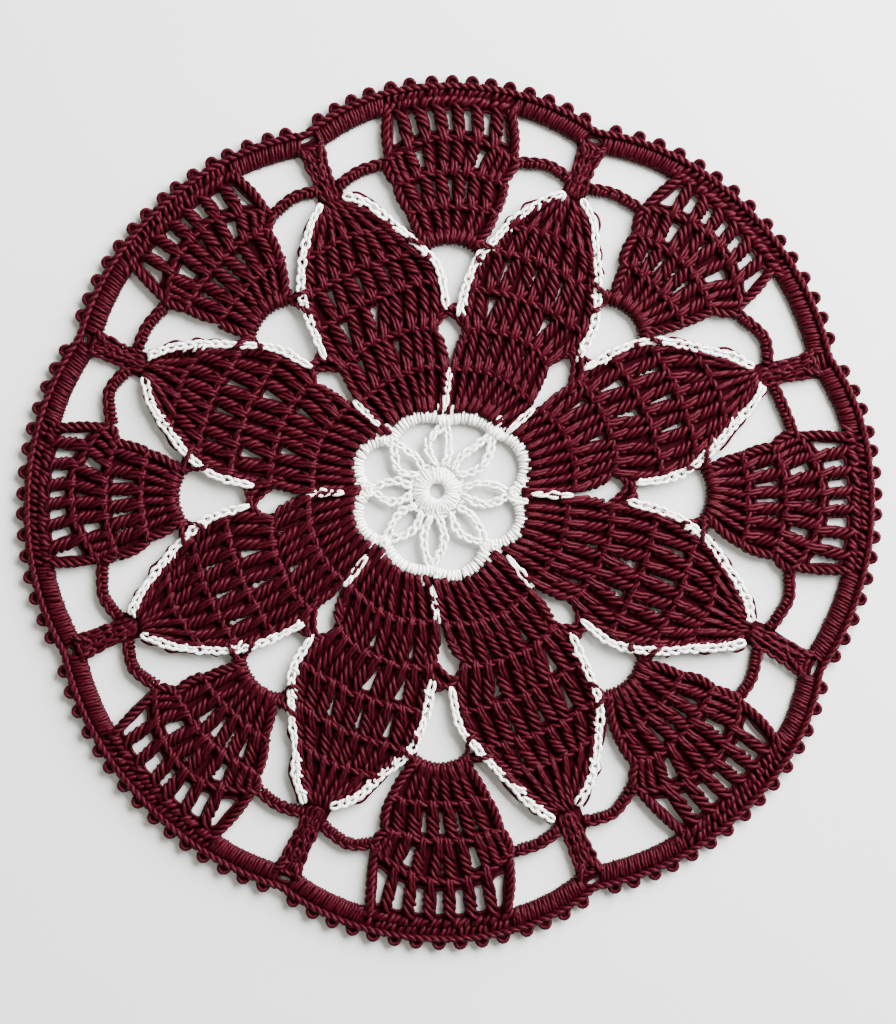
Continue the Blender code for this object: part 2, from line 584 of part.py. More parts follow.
def build_lace(material, collection):
    contours = [outline(), medallion_edge(GAP)]
    for k in range(SECTORS):
        contours += stitch_gaps(petal_point, k, PETAL_CHART)
        contours += stitch_gaps(fan_point, k, FAN_CHART)
        contours += [throat(k), slot_outline(k)] + small_gaps(k)
        for side in (-1, 1):
            contours += [inner_window(k, side), rim_window(k, side)]
    flat_piece("lace_body", contours, 0.0, SHEET, material, collection)


def build_medallion(material, collection):
    contours = [medallion_edge(0.0), circle(RING_CENTRE, RING_HOLE, 12)]
    for k in range(SECTORS):
        contours += [arch_opening(k), loop_slit(k)]
    flat_piece("centre_medallion", contours, 0.0, SHEET, material, collection)


def build_chains(material, collection):
    """White surface chain along both edges of each petal, and a bar below each throat."""
    bottom = SHEET + GAP
    for k in range(SECTORS):
        for side, word in ((-1, "left"), (1, "right")):
            line = softened(petal_edge(k, side, "foot waist join shoulder high tip"))
            contour = shifted(line, CHAIN_WIDTH / 2) + list(reversed(shifted(line, -CHAIN_WIDTH / 2)))
            name = f"chain_{k + 1}_{word}"
            flat_piece(name, [contour], bottom, CHAIN_THICK, material, collection)
        slot = SLOTS[k]
        line = [turned(fan_turn(k), point) for point in
                ((slot.bar_x, slot.bar_r), (slot.bottom_x, slot.bottom_r))]
        contour = shifted(line, CHAIN_WIDTH / 2) + list(reversed(shifted(line, -CHAIN_WIDTH / 2)))
        flat_piece(f"bar_{k + 1}", [contour], bottom, CHAIN_THICK, material, collection)


def main():
    for thing in list(bpy.data.objects):
        bpy.data.objects.remove(thing)
    collection = bpy.data.collections.new("lace_doily")
    bpy.context.scene.collection.children.link(collection)
    burgundy = make_material("burgundy_cotton", (0.147, 0.010, 0.027), 0.75)
    white = make_material("white_cotton", (0.86, 0.86, 0.84), 0.8)
    build_lace(burgundy, collection)
    build_medallion(white, collection)
    build_chains(white, collection)


main()
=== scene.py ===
"""Crocheted cotton doily, laid flat: burgundy lace around a white eight-lobed medallion.

Every thread is a swept tube.  A stitch is a small chart of strands, written across, along
and above the lace, and laid between the foot and the head of each treble, wrap or link.
Plane sizes are millimetres in the doily's own frame, and become metres in the meshes.

Each petal and each fan has its own upright frame: it is turned clockwise from +Y about
the doily's centre, r points outward and x points clockwise.
"""
import json
from collections import namedtuple
from math import atan2, degrees, hypot, pi

import bmesh
import bpy
import numpy as np
from bpy.props import FloatProperty, FloatVectorProperty, IntProperty, PointerProperty
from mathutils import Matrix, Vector

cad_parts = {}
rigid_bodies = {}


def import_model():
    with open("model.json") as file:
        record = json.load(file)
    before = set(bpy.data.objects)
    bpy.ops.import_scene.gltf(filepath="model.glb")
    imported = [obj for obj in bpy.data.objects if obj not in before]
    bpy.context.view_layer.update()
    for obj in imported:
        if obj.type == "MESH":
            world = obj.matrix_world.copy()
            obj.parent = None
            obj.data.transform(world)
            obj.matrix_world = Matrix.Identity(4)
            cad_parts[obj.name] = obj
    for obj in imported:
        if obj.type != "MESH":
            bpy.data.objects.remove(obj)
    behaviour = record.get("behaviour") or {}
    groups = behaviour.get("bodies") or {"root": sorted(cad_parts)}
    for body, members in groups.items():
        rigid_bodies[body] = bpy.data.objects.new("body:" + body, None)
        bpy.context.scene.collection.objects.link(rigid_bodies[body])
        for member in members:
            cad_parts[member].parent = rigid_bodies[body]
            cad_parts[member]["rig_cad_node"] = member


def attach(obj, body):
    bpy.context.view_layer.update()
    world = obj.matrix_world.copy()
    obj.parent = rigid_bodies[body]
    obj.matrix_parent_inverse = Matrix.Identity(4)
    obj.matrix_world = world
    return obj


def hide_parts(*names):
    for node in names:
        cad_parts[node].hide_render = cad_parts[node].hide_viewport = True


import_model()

bl_info = {
    "name": "Crocheted doily",
    "version": (1, 0, 0),
    "blender": (4, 5, 0),
    "location": "View3D > Sidebar > Doily",
    "description": "Makes the threads of a two-coloured crocheted doily",
    "category": "Object",
}

for leftover in [o for o in bpy.data.objects if o.name in ("Cube", "Light", "Camera")]:
    bpy.data.objects.remove(leftover)
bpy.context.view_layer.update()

# ------------------------ driving sizes (mm)
MM = 0.001
UP = np.array((0.0, 0.0, 1.0))
SECTORS = 8  # petals, and as many fans
FAN_STEP = 360.0 / SECTORS  # degrees from one fan to the next
PETAL_TURN = FAN_STEP / 2  # petal k stands half a step clockwise from fan k
CHAIN_WIDTH = 2.4  # width of a white surface chain
GAP = 0.3  # clearance between the lace and the medallion
BAND = 5.9  # width of the rim, without picots
CORD = 2.4  # width of a bridge between fan and petal
PILLAR = 5.4  # width of a pillar between petal tip and rim
PILLAR_CLEAR = 1.05  # degrees from a pillar's middle to the rim's wraps
PICOTS = 15  # picots between two pillars
PICOT_CLEAR = 2.4  # degrees left plain on each side of a pillar
PICOT_FOOT, PICOT_HEAD = 0.9, 1.35  # from the edge of the rim inward and outward
RIM_MIDDLE = 100.0  # radius at which the fans' heads are turned to angles
SCALLOP_POWER = 2.3  # roundness of each scallop of the rim
SLOT_HALF = 3.2  # half the width of the slot between two petals
SLOT_LOWER, SLOT_UPPER = (0.4, 0.75), (0.75, 1.0)  # share of its length, and of its half width
SLOT_RIGHT = (1.2, -1.5)  # its upper right corner: half widths, and outward
SLOT_ASIDE = 0.3  # from the edge of the slot to the rope round it
ARCH_BAND = 2.8  # width of the white arches
LOOP_HALF = 2.04  # half the width of a white chain loop, between its chains
LOOP_SHAPE = (0.5, 1.1, 1.2, 0.8, 0.15)  # share of it, from the ring to the cusp
RING_CENTRE = (-3.25, 5.0)  # of the medallion, in doily coordinates
RING_OUTER, RING_HOLE = 6.6, 1.9  # radii of its ring
RING_SPOKES = 36  # long strands across its ring
BASE_HALF = 6.3  # half the width of the foot of a fan
FAN_CORNER = ((1.08, -0.4), (1.22, 1.7))  # corner of its foot: shares of it, and outward
FOOT_DROP = 2.0  # how far the ends of a fan's foot lie below its middle
HEAD_INSET = 5.2  # from the rim's edge to the heads of a fan's last row
BOW = 0.55  # how far the outer trebles of a row bow outward
FOOT_WIDTH = 1.6  # room that two feet keep when they are drawn together
GATHER = 0.3  # share of the other room below an open gap that is taken up
WIDE_STEP = 4.7  # a wider step between trebles gets one more of them
OPEN_ROOM = 1.75  # most room to the side of a treble at an open gap
SIDES = 6  # faces round a thread
JITTER = (1.2, 0.25, 1.5)  # unevenness of a strand across, along and above
SHADE_SHIFT = 40.0  # a thread's twist starts at its shade times this length
DEEP, LIT = 1.0, 2.3  # heights at which the painted shade on threads is deepest, and where it ends

# Sizes of the dark ground, a sheet in painted shade which stays hidden below the threads beside each
# opening.
GROUND_LOW, GROUND_HIGH = 0.1, 1.3
GROUND_BAND = 5.0  # width of the ground below the rim
GROUND_RUNGS = (0.24, 0.52, 0.82)  # shares of a row's height where its gaps are measured
GROUND_POST = 1.25  # half the width of the ground below a treble at a gap
PINCH = 0.44  # the most that it covers of the way to the next treble
EDGE_REACH = 0.48  # from a white chain's middle line to the ground's edge
SIDE_REACH = -0.3  # from a fan's outer trebles to the ground's edge, outward
TABLE_CLEAR = 0.05  # least height of a thread above the table
THROAT_FOOT = ((1.3, 0.9), (0.0, 0.7), (-1.3, 0.9))  # about the joint of two petals
JOINT_GAP_AT = (4.6, -2.6)  # middle of the gap beside a joint, and its corners
JOINT_GAP = ((-1.6, 1.4), (1.5, 1.2), (0.4, -2.2))
# Window between fan, pillar and rim: shares of the rim's part of it, degrees from the
# pillar's middle, corners at the pillar (share of its width, outward), the ends of the
# fan's outer treble (outward), and its belly (outward aside, share of the height, top).
RIM_SHARES = np.array((0.0, 0.3, 0.6, 0.85))
WINDOW_TURN = 2.6
WINDOW_FOOT, WINDOW_TOP = (0.42, 3.5), (0.6, -1.6)
POST_FOOT, POST_TOP = 1.2, -0.8
BELLY_ASIDE, BELLY_SHARE, BELLY_TOP = 0.3, 0.55, 98.0
# The gap above a pillar, about the pillar's top, with x in half widths of the gap.
PILLAR_GAP = ((-1.0, 1.9), (-0.5, 2.7), (0.5, 2.8), (1.0, 2.0), (0.5, 1.2), (-0.5, 1.1))

# Sizes of the stage, in metres.
TABLE_HALF = 1.5  # half the width of the table
TABLE_DROP = 0.0001  # from the cloth down to the table
ROOM_LIGHT = 0.76  # strength of the light from all around
LAMP_AT = (0.53, 0.45, 0.465)
LAMP_SIZE, LAMP_POWER = 0.8, 79.0  # side of the square lamp, and watts
VIEW_CENTRE = (-0.0005, -0.00025)  # below the camera
VIEW_HEIGHT = 0.256  # of the picture, measured on the table

# Yarns: the colour of the painted shade between the plies, the colours of the body, of the
# lightest threads and of the gloss, how much they shine, and the share of colour that the
# painted shade keeps on the deepest threads.
Yarn = namedtuple("Yarn", "groove body gleam gloss specular shadow")
BURGUNDY = Yarn("#1c0306", "#27030a", "#340711", "#b4606f", 0.22, 0.66)
WHITE = Yarn("#c4beb2", "#f8f7f4", "#fefefd", "#ffffff", 0.5, 0.5)

# ------------------------ rows of the pattern
def rows_of(fields, *rows):
    """Rows of numbers whose columns have names."""
    kind = namedtuple("Row", fields)
    return [kind(*row) for row in rows]


# One row for each fan, clockwise from the top.  joint: where two petals meet below the
# fan; base: middle of the fan's foot; row_1 to row_3: tops of its rows of trebles.
FANS = rows_of("joint_x joint_r base_x base_r row_1 row_2 row_3",
    (0.0, 50.75, 0.0, 67.0, 75.75, 84.5, 93.0),
    (-4.5, 50.0, -3.0, 66.25, 75.75, 84.5, 94.0),
    (-5.0, 45.75, -4.5, 64.5, 74.25, 83.75, 92.75),
    (-2.0, 44.25, -1.25, 61.25, 71.25, 80.5, 90.5),
    (1.25, 43.75, 2.5, 63.25, 73.0, 82.5, 92.5),
    (3.0, 46.75, 3.75, 64.5, 74.25, 83.25, 92.5),
    (3.0, 50.0, 3.75, 68.0, 77.0, 86.25, 94.5),
    (2.5, 50.0, 2.0, 67.0, 75.5, 85.0, 93.75),
)
# Left and right edge of each fan: at row 1, at row 2, where the bridges meet it (x, r),
# and at the rim.
FAN_SIDES = rows_of("left_1 right_1 left_2 right_2 left_x left_r right_x right_r left_top right_top",
    (-10.75, 12.0, -14.0, 13.5, -16.5, 86.75, 17.0, 87.0, -16.5, 15.75),
    (-14.25, 8.75, -16.5, 11.25, -20.0, 86.75, 16.25, 85.5, -19.0, 15.25),
    (-14.5, 9.5, -17.0, 11.5, -20.0, 85.5, 15.0, 84.5, -19.25, 15.5),
    (-12.5, 11.25, -15.5, 12.5, -18.5, 83.75, 17.0, 81.0, -17.5, 16.75),
    (-10.0, 15.5, -13.0, 16.5, -16.0, 85.0, 20.0, 83.0, -15.25, 21.25),
    (-8.75, 15.0, -13.0, 17.25, -15.5, 83.0, 21.25, 82.75, -16.5, 21.25),
    (-8.0, 15.5, -11.5, 18.0, -13.25, 86.75, 22.0, 84.5, -13.75, 22.0),
    (-8.0, 15.5, -11.5, 18.0, -13.75, 86.5, 21.5, 83.5, -13.0, 21.75),
)
# Slot below each fan, between two petals, and the inner end of the white bar below it.
SLOTS = rows_of("bottom_x bottom_r top_x top_r bar_x bar_r",
    (0.0, 35.5, 0.0, 49.0, -1.25, 26.5),
    (-3.25, 32.0, -5.5, 48.25, -3.75, 25.0),
    (-3.75, 30.5, -6.25, 43.75, -4.25, 21.5),
    (-1.25, 27.5, -2.0, 42.0, -2.0, 19.5),
    (3.0, 27.5, -0.5, 41.5, 4.25, 20.0),
    (5.5, 31.25, 2.0, 45.0, 6.5, 23.75),
    (4.5, 35.5, 1.25, 48.75, 4.5, 27.5),
    (2.5, 35.75, 1.25, 48.0, 2.5, 28.25),
)
# One row for each petal, clockwise from the one right of the top fan: the tops of its
# rows on the axis, and its tip.
PETALS = rows_of("row_1 row_2 row_3 row_4 row_5 tip_x tip_r",
    (35.75, 46.0, 55.5, 65.5, 73.0, -2.0, 84.0),
    (33.75, 44.5, 54.5, 63.75, 73.0, -2.0, 83.75),
    (28.75, 39.5, 50.0, 60.75, 68.75, -1.0, 80.5),
    (28.75, 39.5, 49.5, 59.5, 67.5, 2.0, 80.5),
    (30.0, 40.75, 51.25, 60.75, 69.5, 2.25, 80.75),
    (34.25, 44.5, 54.5, 63.75, 72.5, 4.0, 83.0),
    (36.75, 47.0, 56.25, 65.5, 74.25, 4.25, 84.0),
    (36.25, 46.25, 56.25, 64.5, 73.0, 2.25, 83.0),
)
# Middle line of the white chain on the left (-1) and the right edge of each petal (x, r):
# foot at the joint, waist, join where a fan's foot is tied on, shoulder, high and tip.
EDGE = "foot waist join shoulder high tip"
EDGES = {}
EDGES[-1] = rows_of(EDGE,
    ((-17.0, 47.0), (-18.0, 58.0), (-16.25, 64.5), (-13.5, 72.0), (-8.75, 79.5), (-4.5, 83.75)),
    ((-20.0, 45.5), (-21.0, 55.5), (-19.5, 63.75), (-14.25, 72.0), (-9.0, 79.25), (-4.5, 83.25)),
    ((-19.25, 41.0), (-20.25, 51.5), (-18.5, 60.5), (-13.75, 68.75), (-8.75, 76.0), (-3.75, 79.75)),
    ((-16.25, 40.75), (-16.5, 50.0), (-16.0, 58.5), (-12.5, 66.25), (-8.0, 74.0), (-1.5, 79.5)),
    ((-12.5, 41.5), (-14.25, 53.0), (-13.5, 60.0), (-9.5, 67.25), (-5.75, 75.0), (-1.0, 79.25)),
    ((-12.0, 45.5), (-12.5, 55.0), (-11.25, 63.5), (-8.0, 71.0), (-4.5, 77.0), (0.75, 82.5)),
    ((-13.25, 48.75), (-14.25, 57.5), (-12.25, 65.5), (-8.5, 72.25), (-4.75, 78.0), (1.25, 83.0)),
    ((-14.25, 48.0), (-14.25, 57.0), (-13.5, 64.25), (-10.5, 71.0), (-5.5, 78.25), (-0.75, 82.5)),
)
EDGES[1] = rows_of(EDGE,
    ((15.0, 48.0), (15.5, 56.25), (12.75, 65.5), (9.5, 72.5), (5.5, 80.0), (1.0, 84.0)),
    ((11.75, 46.75), (13.5, 55.5), (11.5, 64.5), (8.25, 71.5), (5.0, 78.75), (1.5, 83.75)),
    ((13.0, 42.0), (15.0, 50.5), (12.75, 60.5), (8.75, 68.75), (5.25, 76.0), (2.25, 80.0)),
    ((16.75, 41.75), (18.25, 50.5), (15.5, 60.0), (12.5, 67.25), (9.5, 75.0), (5.75, 80.75)),
    ((20.0, 43.0), (21.0, 51.5), (17.5, 61.25), (13.25, 68.75), (10.25, 75.75), (6.0, 80.75)),
    ((20.5, 46.75), (21.25, 55.5), (19.0, 64.0), (15.0, 71.75), (11.25, 78.0), (7.25, 83.25)),
    ((20.0, 46.75), (20.75, 55.5), (18.0, 64.5), (15.0, 72.5), (11.75, 78.5), (7.25, 84.0)),
    ((18.75, 48.0), (20.5, 57.0), (17.5, 65.5), (13.75, 72.5), (10.5, 78.5), (5.75, 82.5)),
)
# Pillar on each petal's tip, in the petal's frame: its middle at the foot and at the rim,
# and half the width of the gap between its top and the rim's rope.
PILLARS = rows_of("foot_x top_x top_r gap",
    (-1.75, -2.0, 97.25, 2.0),
    (-1.0, 0.75, 97.75, 0.0),
    (-0.75, 1.25, 97.0, 2.7),
    (2.25, 2.25, 97.0, 2.1),
    (2.25, 3.0, 98.5, 2.1),
    (3.75, 4.0, 99.0, 1.4),
    (4.25, 4.75, 98.5, 1.2),
    (2.25, 2.5, 97.25, 2.4),
)
# Bridges from each pillar's foot to the fan on its left and on its right (x, r).
BRIDGES = rows_of("left_near left_mid right_near right_mid",
    ((-4.5, 88.0), (-10.5, 89.0), (1.0, 87.5), (7.5, 88.75)),
    ((-4.0, 87.5), (-10.0, 89.0), (1.5, 86.5), (7.5, 86.75)),
    ((-3.75, 85.0), (-12.0, 86.5), (2.0, 84.0), (9.5, 85.5)),
    ((-1.5, 84.5), (-8.75, 85.25), (5.5, 84.0), (11.25, 85.25)),
    ((-0.75, 84.75), (-8.0, 86.5), (5.5, 83.75), (11.5, 84.25)),
    ((0.75, 86.75), (-6.0, 88.0), (7.25, 86.5), (13.5, 88.0)),
    ((1.5, 88.0), (-5.0, 90.0), (7.5, 87.5), (13.5, 87.5)),
    ((-0.5, 86.5), (-6.0, 87.25), (5.5, 85.75), (11.5, 87.0)),
)
# Outer radius of the rim at each pillar and at each scallop's crown, and the degrees by
# which the crown lies clockwise of its fan.
RIMS = rows_of("crown crown_turn pillar",
    (107.0, -1.0, 102.25),
    (106.5, -2.0, 103.0),
    (106.25, -6.0, 101.5),
    (105.5, -3.0, 101.5),
    (107.75, 2.5, 103.75),
    (106.25, 2.0, 103.5),
    (106.5, 1.0, 103.0),
    (105.75, -1.0, 101.5),
)
# White medallion in doily coordinates: the cusp of each arch, the crown of the arch that
# follows it clockwise, and the middle of the chain loop below the cusp.
LOBES = rows_of("cusp crown loop",
    ((-1.25, 22.25), (5.0, 24.25), (-3.0, 16.0)),
    ((11.25, 19.25), (19.75, 12.75), (6.25, 13.0)),
    ((15.25, 4.25), (18.75, -3.0), (9.5, 4.25)),
    ((8.75, -8.25), (3.25, -17.0), (4.25, -3.75)),
    ((-4.75, -14.5), (-10.5, -15.5), (-4.0, -7.5)),
    ((-16.0, -7.5), (-24.0, -2.5), (-11.25, -3.0)),
    ((-19.75, 5.25), (-23.75, 13.5), (-14.5, 4.75)),
    ((-14.5, 17.25), (-7.0, 24.75), (-10.5, 11.5)),
)

# ------------------------ stitch charts
# Where each treble of a fan's row stands on the row below and on the row above, from -1 at
# the left edge to 1 at the right edge, and how many of its widest gaps are open.
FAN_CHART = rows_of("below above open_gaps",
    ((-0.9, -0.64, -0.38, -0.13, 0.13, 0.38, 0.64, 0.9),
     (-0.93, -0.67, -0.4, -0.13, 0.13, 0.4, 0.67, 0.93), 0),
    ((-0.94, -0.72, -0.44, -0.16, 0.15, 0.45, 0.72, 0.94),
     (-0.96, -0.76, -0.46, -0.16, 0.16, 0.48, 0.76, 0.96), 4),
    ((-0.94, -0.86, -0.75, -0.61, -0.27, -0.09, 0.09, 0.27, 0.6, 0.75, 0.86, 0.94),
     (-0.97, -0.89, -0.79, -0.66, -0.36, -0.13, 0.12, 0.36, 0.66, 0.79, 0.89, 0.97), 3),
    ((-0.98, -0.58, -0.36, -0.1, 0.14, 0.42, 0.62, 0.98),
     (-0.97, -0.76, -0.46, -0.16, 0.12, 0.44, 0.76, 0.97), 7),
)
# Each row of a petal: the shares where its first and last treble stand, below and above,
# how many trebles it has, and after which of them the step is open.
PETAL_SPREADS = rows_of("below above count after",
    ((0.12, 0.88), (-0.91, 0.91), 9, ()),
    ((-0.91, 0.91), (-0.92, 0.92), 9, (1, 4)),
    ((-0.91, 0.91), (-0.92, 0.92), 9, (0, 4)),
    ((-0.9, 0.9), (-0.91, 0.91), 9, (0, 2, 4)),
    ((-0.89, 0.89), (-0.87, 0.87), 8, (1, 3)),
    ((-0.92, 0.92), (-0.97, 0.97), 7, (1,)),
)
OPEN_BELOW, OPEN_ABOVE = 0.95, 1.6  # how much wider an open step is than the others
FAN_SAG = (1.6, 1.6, 3.4)  # how far a row's ends hang below its middle
PETAL_SAG = (3.6, 3.2, 2.4, 2.0, 2.0)
FAN_HEAD_POWER = 2.2  # roundness of the third row, which ends at the bridges
TIP_HALF = 2.2  # half the width of a petal's tip

# ------------------------ how the threads are laid
# Wraps over a line: where they begin and end to its left, the step from one to the next,
# the radius of the thread, the lift above the chart, the slant and the unevenness.
Wraps = namedtuple("Wraps", "inner outer pitch radius lift lean wobble")
PETAL_WRAPS = Wraps(2.4, -0.5, 1.35, 0.52, -0.1, 0.9, 0.06)
FOOT_WRAPS = Wraps(-0.7, 3.0, 1.12, 0.5, 0.55, 0.5, 0.08)
RIM_WRAPS = Wraps(-6.0, -1.4, 0.88, 0.47, 0.0, 0.8, 0.1)
RIM_HEADS = Wraps(-6.0, -3.6, 1.6, 0.66, 0.0, 2.0, 0.14)
RIM_BRAID = Wraps(-4.1, -1.3, 1.7, 0.6, -0.15, 1.5, 0.14)
BRIDGE_WRAPS = Wraps(-1.4, 0.5, 1.15, 0.52, 0.0, 0.4, 0.1)
PILLAR_WRAPS = Wraps(-1.9, 1.9, 1.7, 0.5, -0.3, 1.2, 0.13)
CLOSED_WRAPS = Wraps(-2.7, 2.7, 1.1, 0.5, -0.2, 0.6, 0.13)
ARCH_WRAPS = Wraps(-1.15, 1.6, 0.93, 0.46, 0.55, 0.3, 0.09)
# Ropes: radius of a ply, radius of the circle it runs on, length of one turn, height of the
# rope's middle where its line has none, step along the line and number of plies.
Rope = namedtuple("Rope", "radius coil pitch height spacing plies", defaults=(4.0, None, 0.6, 2))
ROW_ROPE = Rope(0.56, 0.5, 5.2, 2.4, 0.8, 2)
SIDE_ROPE = Rope(0.56, 0.8, 6.0, 2.0, 0.7, 3)
RIM_ROPE = Rope(0.58, 0.48, 4.0, 2.2, 0.7, 2)
BRIDGE_ROPE = Rope(0.5, 0.4, 5.0, 1.9, 0.7, 2)
SLOT_ROPE = Rope(0.52, 0.4, 4.6, 1.9, 0.7, 2)
EDGE_THREAD = Rope(0.38, 0.0, height=2.1, plies=1)
TIE_ROPE = Rope(0.46, 0.34)
KNOT_ROPE = Rope(0.55, 0.45)
UNDER_ROPE = Rope(0.5, 0.4)
ARM_ROPE = Rope(0.52, 0.4)
HEAD_ROPE = Rope(0.5, 0.3)
# Chains: half the width of a link, the step from one to the next, the radius of the
# thread, the height, the unevenness, and how far the first link reaches back, in steps.
Links = namedtuple("Links", "half pitch radius height loose tail", defaults=(0.08, 0.35))
EDGE_LINKS = Links(0.84, 2.25, 0.43, 2.9)
BAR_LINKS = Links(0.72, 2.6, 0.43, 2.8)
PILLAR_LINKS = Links(0.9, 2.7, 0.52, 2.1, 0.13, 0.0)
RING_LINKS = Links(0.8, 1.9, 0.44, 1.7)
LOOP_LINKS = Links(0.82, 2.1, 0.46, 2.2, tail=0.0)
LEG_LINKS = Links(0.55, 2.2, 0.42, 2.6, tail=0.0)
# Plain strands under wraps and round openings: radius and height.
RIM_CORE, ROPE_CORE, BRIDGE_CORE, FOOT_CORE = (0.75, 0.95), (0.5, 0.9), (0.6, 0.9), (0.62, 1.2)
CHAIN_CORE, LOOP_CORE, ARCH_CORE = (0.3, 1.9), (0.5, 1.5), (0.8, 1.3)
STITCH_HEM, GAP_HEM, RING_LIP = (0.5, 1.3), (0.5, 1.2), (0.62, 1.5)
# Paths of short cords (x, r, height) about the end of a pillar and about a joint of petals.
PILLAR_ARM = np.array(((0.9, -2.4, 2.0), (1.9, -0.6, 2.5), (2.7, 0.9, 2.4), (3.6, 1.6, 1.4)))
PILLAR_HEAD = ((-2.8, 0.7, 1.6), (-1.2, 0.7, 2.1), (1.2, 0.7, 2.1), (2.8, 0.7, 1.6))
KNOT_OVER = ((-3.2, 0.6, 1.6), (-1.0, 0.2, 2.4), (1.4, -0.6, 2.5), (4.0, -3.6, 2.4), (5.2, -8.5, 2.0))
KNOT_UNDER = ((3.0, 1.2, 1.6), (1.0, 0.4, 2.3), (-1.5, -0.4, 2.3), (-3.4, -2.6, 1.8))
UPPER_TIE = (2.2, 3.2, 3.7, 2.4)  # heights of a tie: foot, middle, over the chain and end
LOWER_TIE = (1.8, 2.2, 3.6, 2.4)
RIM_CORD, RIM_TOP, RIM_EDGE = 5.5, 0.95, 1.6  # from the rim's edge inward to its cords
WRAPS_CLEAR = 0.4  # degrees from a fan's outer heads to the wraps beside them
HEADS_PAST, BRAID_PAST = 0.9, -0.8  # degrees by which wraps and braid pass those heads
BRIDGE_CORD, BRIDGE_TOP = 0.85, 0.75  # from a bridge's middle inward and outward to its cords
PILLAR_BELOW = 3.2  # how far a pillar reaches below its bridges
PILLAR_IN = 0.3  # how far it reaches into the rim
COLUMN_PAST, WRAPS_SHORT = 0.2, 0.8  # outward past its top, and short of it
OUTER_LOWER = 0.3  # how much lower its outer chains lie
CLOSED_SPAN = (0.4, 4.2)  # outward from its top, where the gap above it is closed by wraps
PILLAR_COLUMNS = (1.3, 1.75, 2.3)  # from a pillar's middle to its outer chains: foot to top
CUSP_LEG = ((0.9, -0.6), (1.4, 2.0), (1.8, 3.8))  # aside and beyond, from a cusp
PETAL_REACH, FAN_REACH = 0.97, 0.99  # shares of a row's half width that its rope covers
PICOT_LOOSE = 0.12  # degrees
PICOT_SIZE, HEART_SIZE = (1.25, 0.58), (1.1, 0.7)  # half the width, and the thread's radius
STRAY_STEP, STRAY_ASIDE = 2.4, (0.2, 1.75)  # loose thread beside a chain, inward of it
SPUR_SHARES = (0.1, 0.6)  # share of links with a spur, at a petal's foot and tip
SPUR_REACH, SPUR_THREAD = (1.0, 1.9), 0.4
SPOKE_START, SPOKE_END = 0.35, -0.4  # from the hole's and from the ring's radius, outward
SPOKE_LOOSE, SPOKE_THREAD = (0.12, 0.25), 0.46  # share of a step, millimetres; radius
LIP_OUT, RING_LINKS_IN = 0.7, 0.5  # from the hole outward, and from the ring's edge inward
RING_LAP = 1.02  # turns of the ring's threads, which overlap a little
TIE_FOOT = 0.95  # where a fan's upper ties begin, as a share of its foot
LOW_TIE_FOOT = (0.2, -1.0)  # lower ties: aside of the foot's corner, and outward
UPPER_MIDDLE, LOWER_MIDDLE = 0.6, 0.5  # share of a tie's way to the chain
UPPER_BEYOND, LOWER_BEYOND = 2.6, 1.6  # how far a tie reaches over the chain
LOWER_LANDING = 0.62  # share of the way from the join to the waist
FOOT_REACH, FOOT_LIFT = 1.1, 0.3  # cord round a fan's foot: share of its width, and outward

# Unevenness: shifts in millimetres, or shares of a size, mostly as spreads of a normal.
FOOT_LOOSE, HEAD_LOOSE, LIFT_LOOSE, BOW_LOOSE = 0.18, 0.3, 0.1, 0.2  # of a treble
HALF_LEAST, HALF_MOST = 0.5, 1.2  # half the width of a treble
HALF_RANGE = (0.85, 1.12)  # shares of its half width
TREBLE_THREAD = (0.92, 0.08)  # shares of its thread's radius: middle and spread
WRAP_STEP, WRAP_THREAD = 0.12, 0.08  # shares of a wrap's step and of its thread's radius
LINK_RANGE, FIRST_LINK = (0.6, 1.12), 0.8  # shares of a link's half width
ROW_LOOSE = 0.2  # of the ropes along the rows
BOW_POWER = 5  # how sharply the bow fades from a row's ends
TUBE_END, TUBE_CAP = 0.6, 0.4  # a thread's end: share of its radius, and length in radii

# ------------------------ strand charts
# Each strand is a row of (across, along, above): across in half widths of the stitch,
# along from 0 at its foot to 1 at its head, and above the ground in millimetres.
TREBLE = np.array((
    ((-0.95, 0.99, 0.9), (-1.08, 0.97, 2.0), (-0.45, 0.91, 2.75), (0.35, 0.80, 2.85), (1.02, 0.68, 2.2),
     (0.80, 0.62, 1.0)),
    ((-0.80, 0.83, 0.9), (-1.05, 0.80, 1.9), (-0.45, 0.72, 2.7), (0.35, 0.61, 2.8), (1.04, 0.50, 2.2),
     (0.80, 0.45, 0.9)),
    ((-0.80, 0.69, 0.9), (-1.06, 0.64, 1.9), (-0.45, 0.55, 2.75), (0.35, 0.44, 2.85), (1.02, 0.34, 2.2),
     (0.80, 0.29, 0.9)),
    ((-0.80, 0.55, 0.9), (-1.02, 0.46, 1.9), (-0.74, 0.30, 2.4), (-0.50, 0.14, 2.75), (-0.42, -0.01, 3.05),
     (-0.38, -0.13, 1.7)),
    ((-0.50, 0.45, 1.5), (-0.20, 0.37, 2.3), (0.04, 0.25, 2.6), (0.20, 0.12, 2.8), (0.24, -0.01, 3.1),
     (0.24, -0.15, 1.6)),
    ((0.70, 0.31, 0.9), (0.88, 0.24, 1.7), (0.78, 0.17, 2.1), (0.60, 0.09, 2.0), (0.46, 0.02, 1.5),
     (0.40, -0.04, 0.8)),
))
WRAP = np.array((
    ((-0.5, -0.02, 0.5), (-0.45, 0.06, 1.3), (-0.2, 0.28, 2.0), (0.1, 0.60, 2.2), (0.35, 0.88, 1.7),
     (0.45, 1.0, 0.8)),
))
LINK = np.array((
    ((-0.1, -0.22, -0.6), (-0.35, 0.0, -0.05), (-0.85, 0.35, 0.1), (-0.95, 0.72, 0.08), (-0.6, 1.05, -0.1),
     (-0.15, 1.2, -0.6)),
    ((0.1, -0.22, -0.6), (0.35, 0.0, -0.08), (0.85, 0.35, 0.08), (0.95, 0.72, 0.05), (0.6, 1.05, -0.12),
     (0.15, 1.2, -0.6)),
))
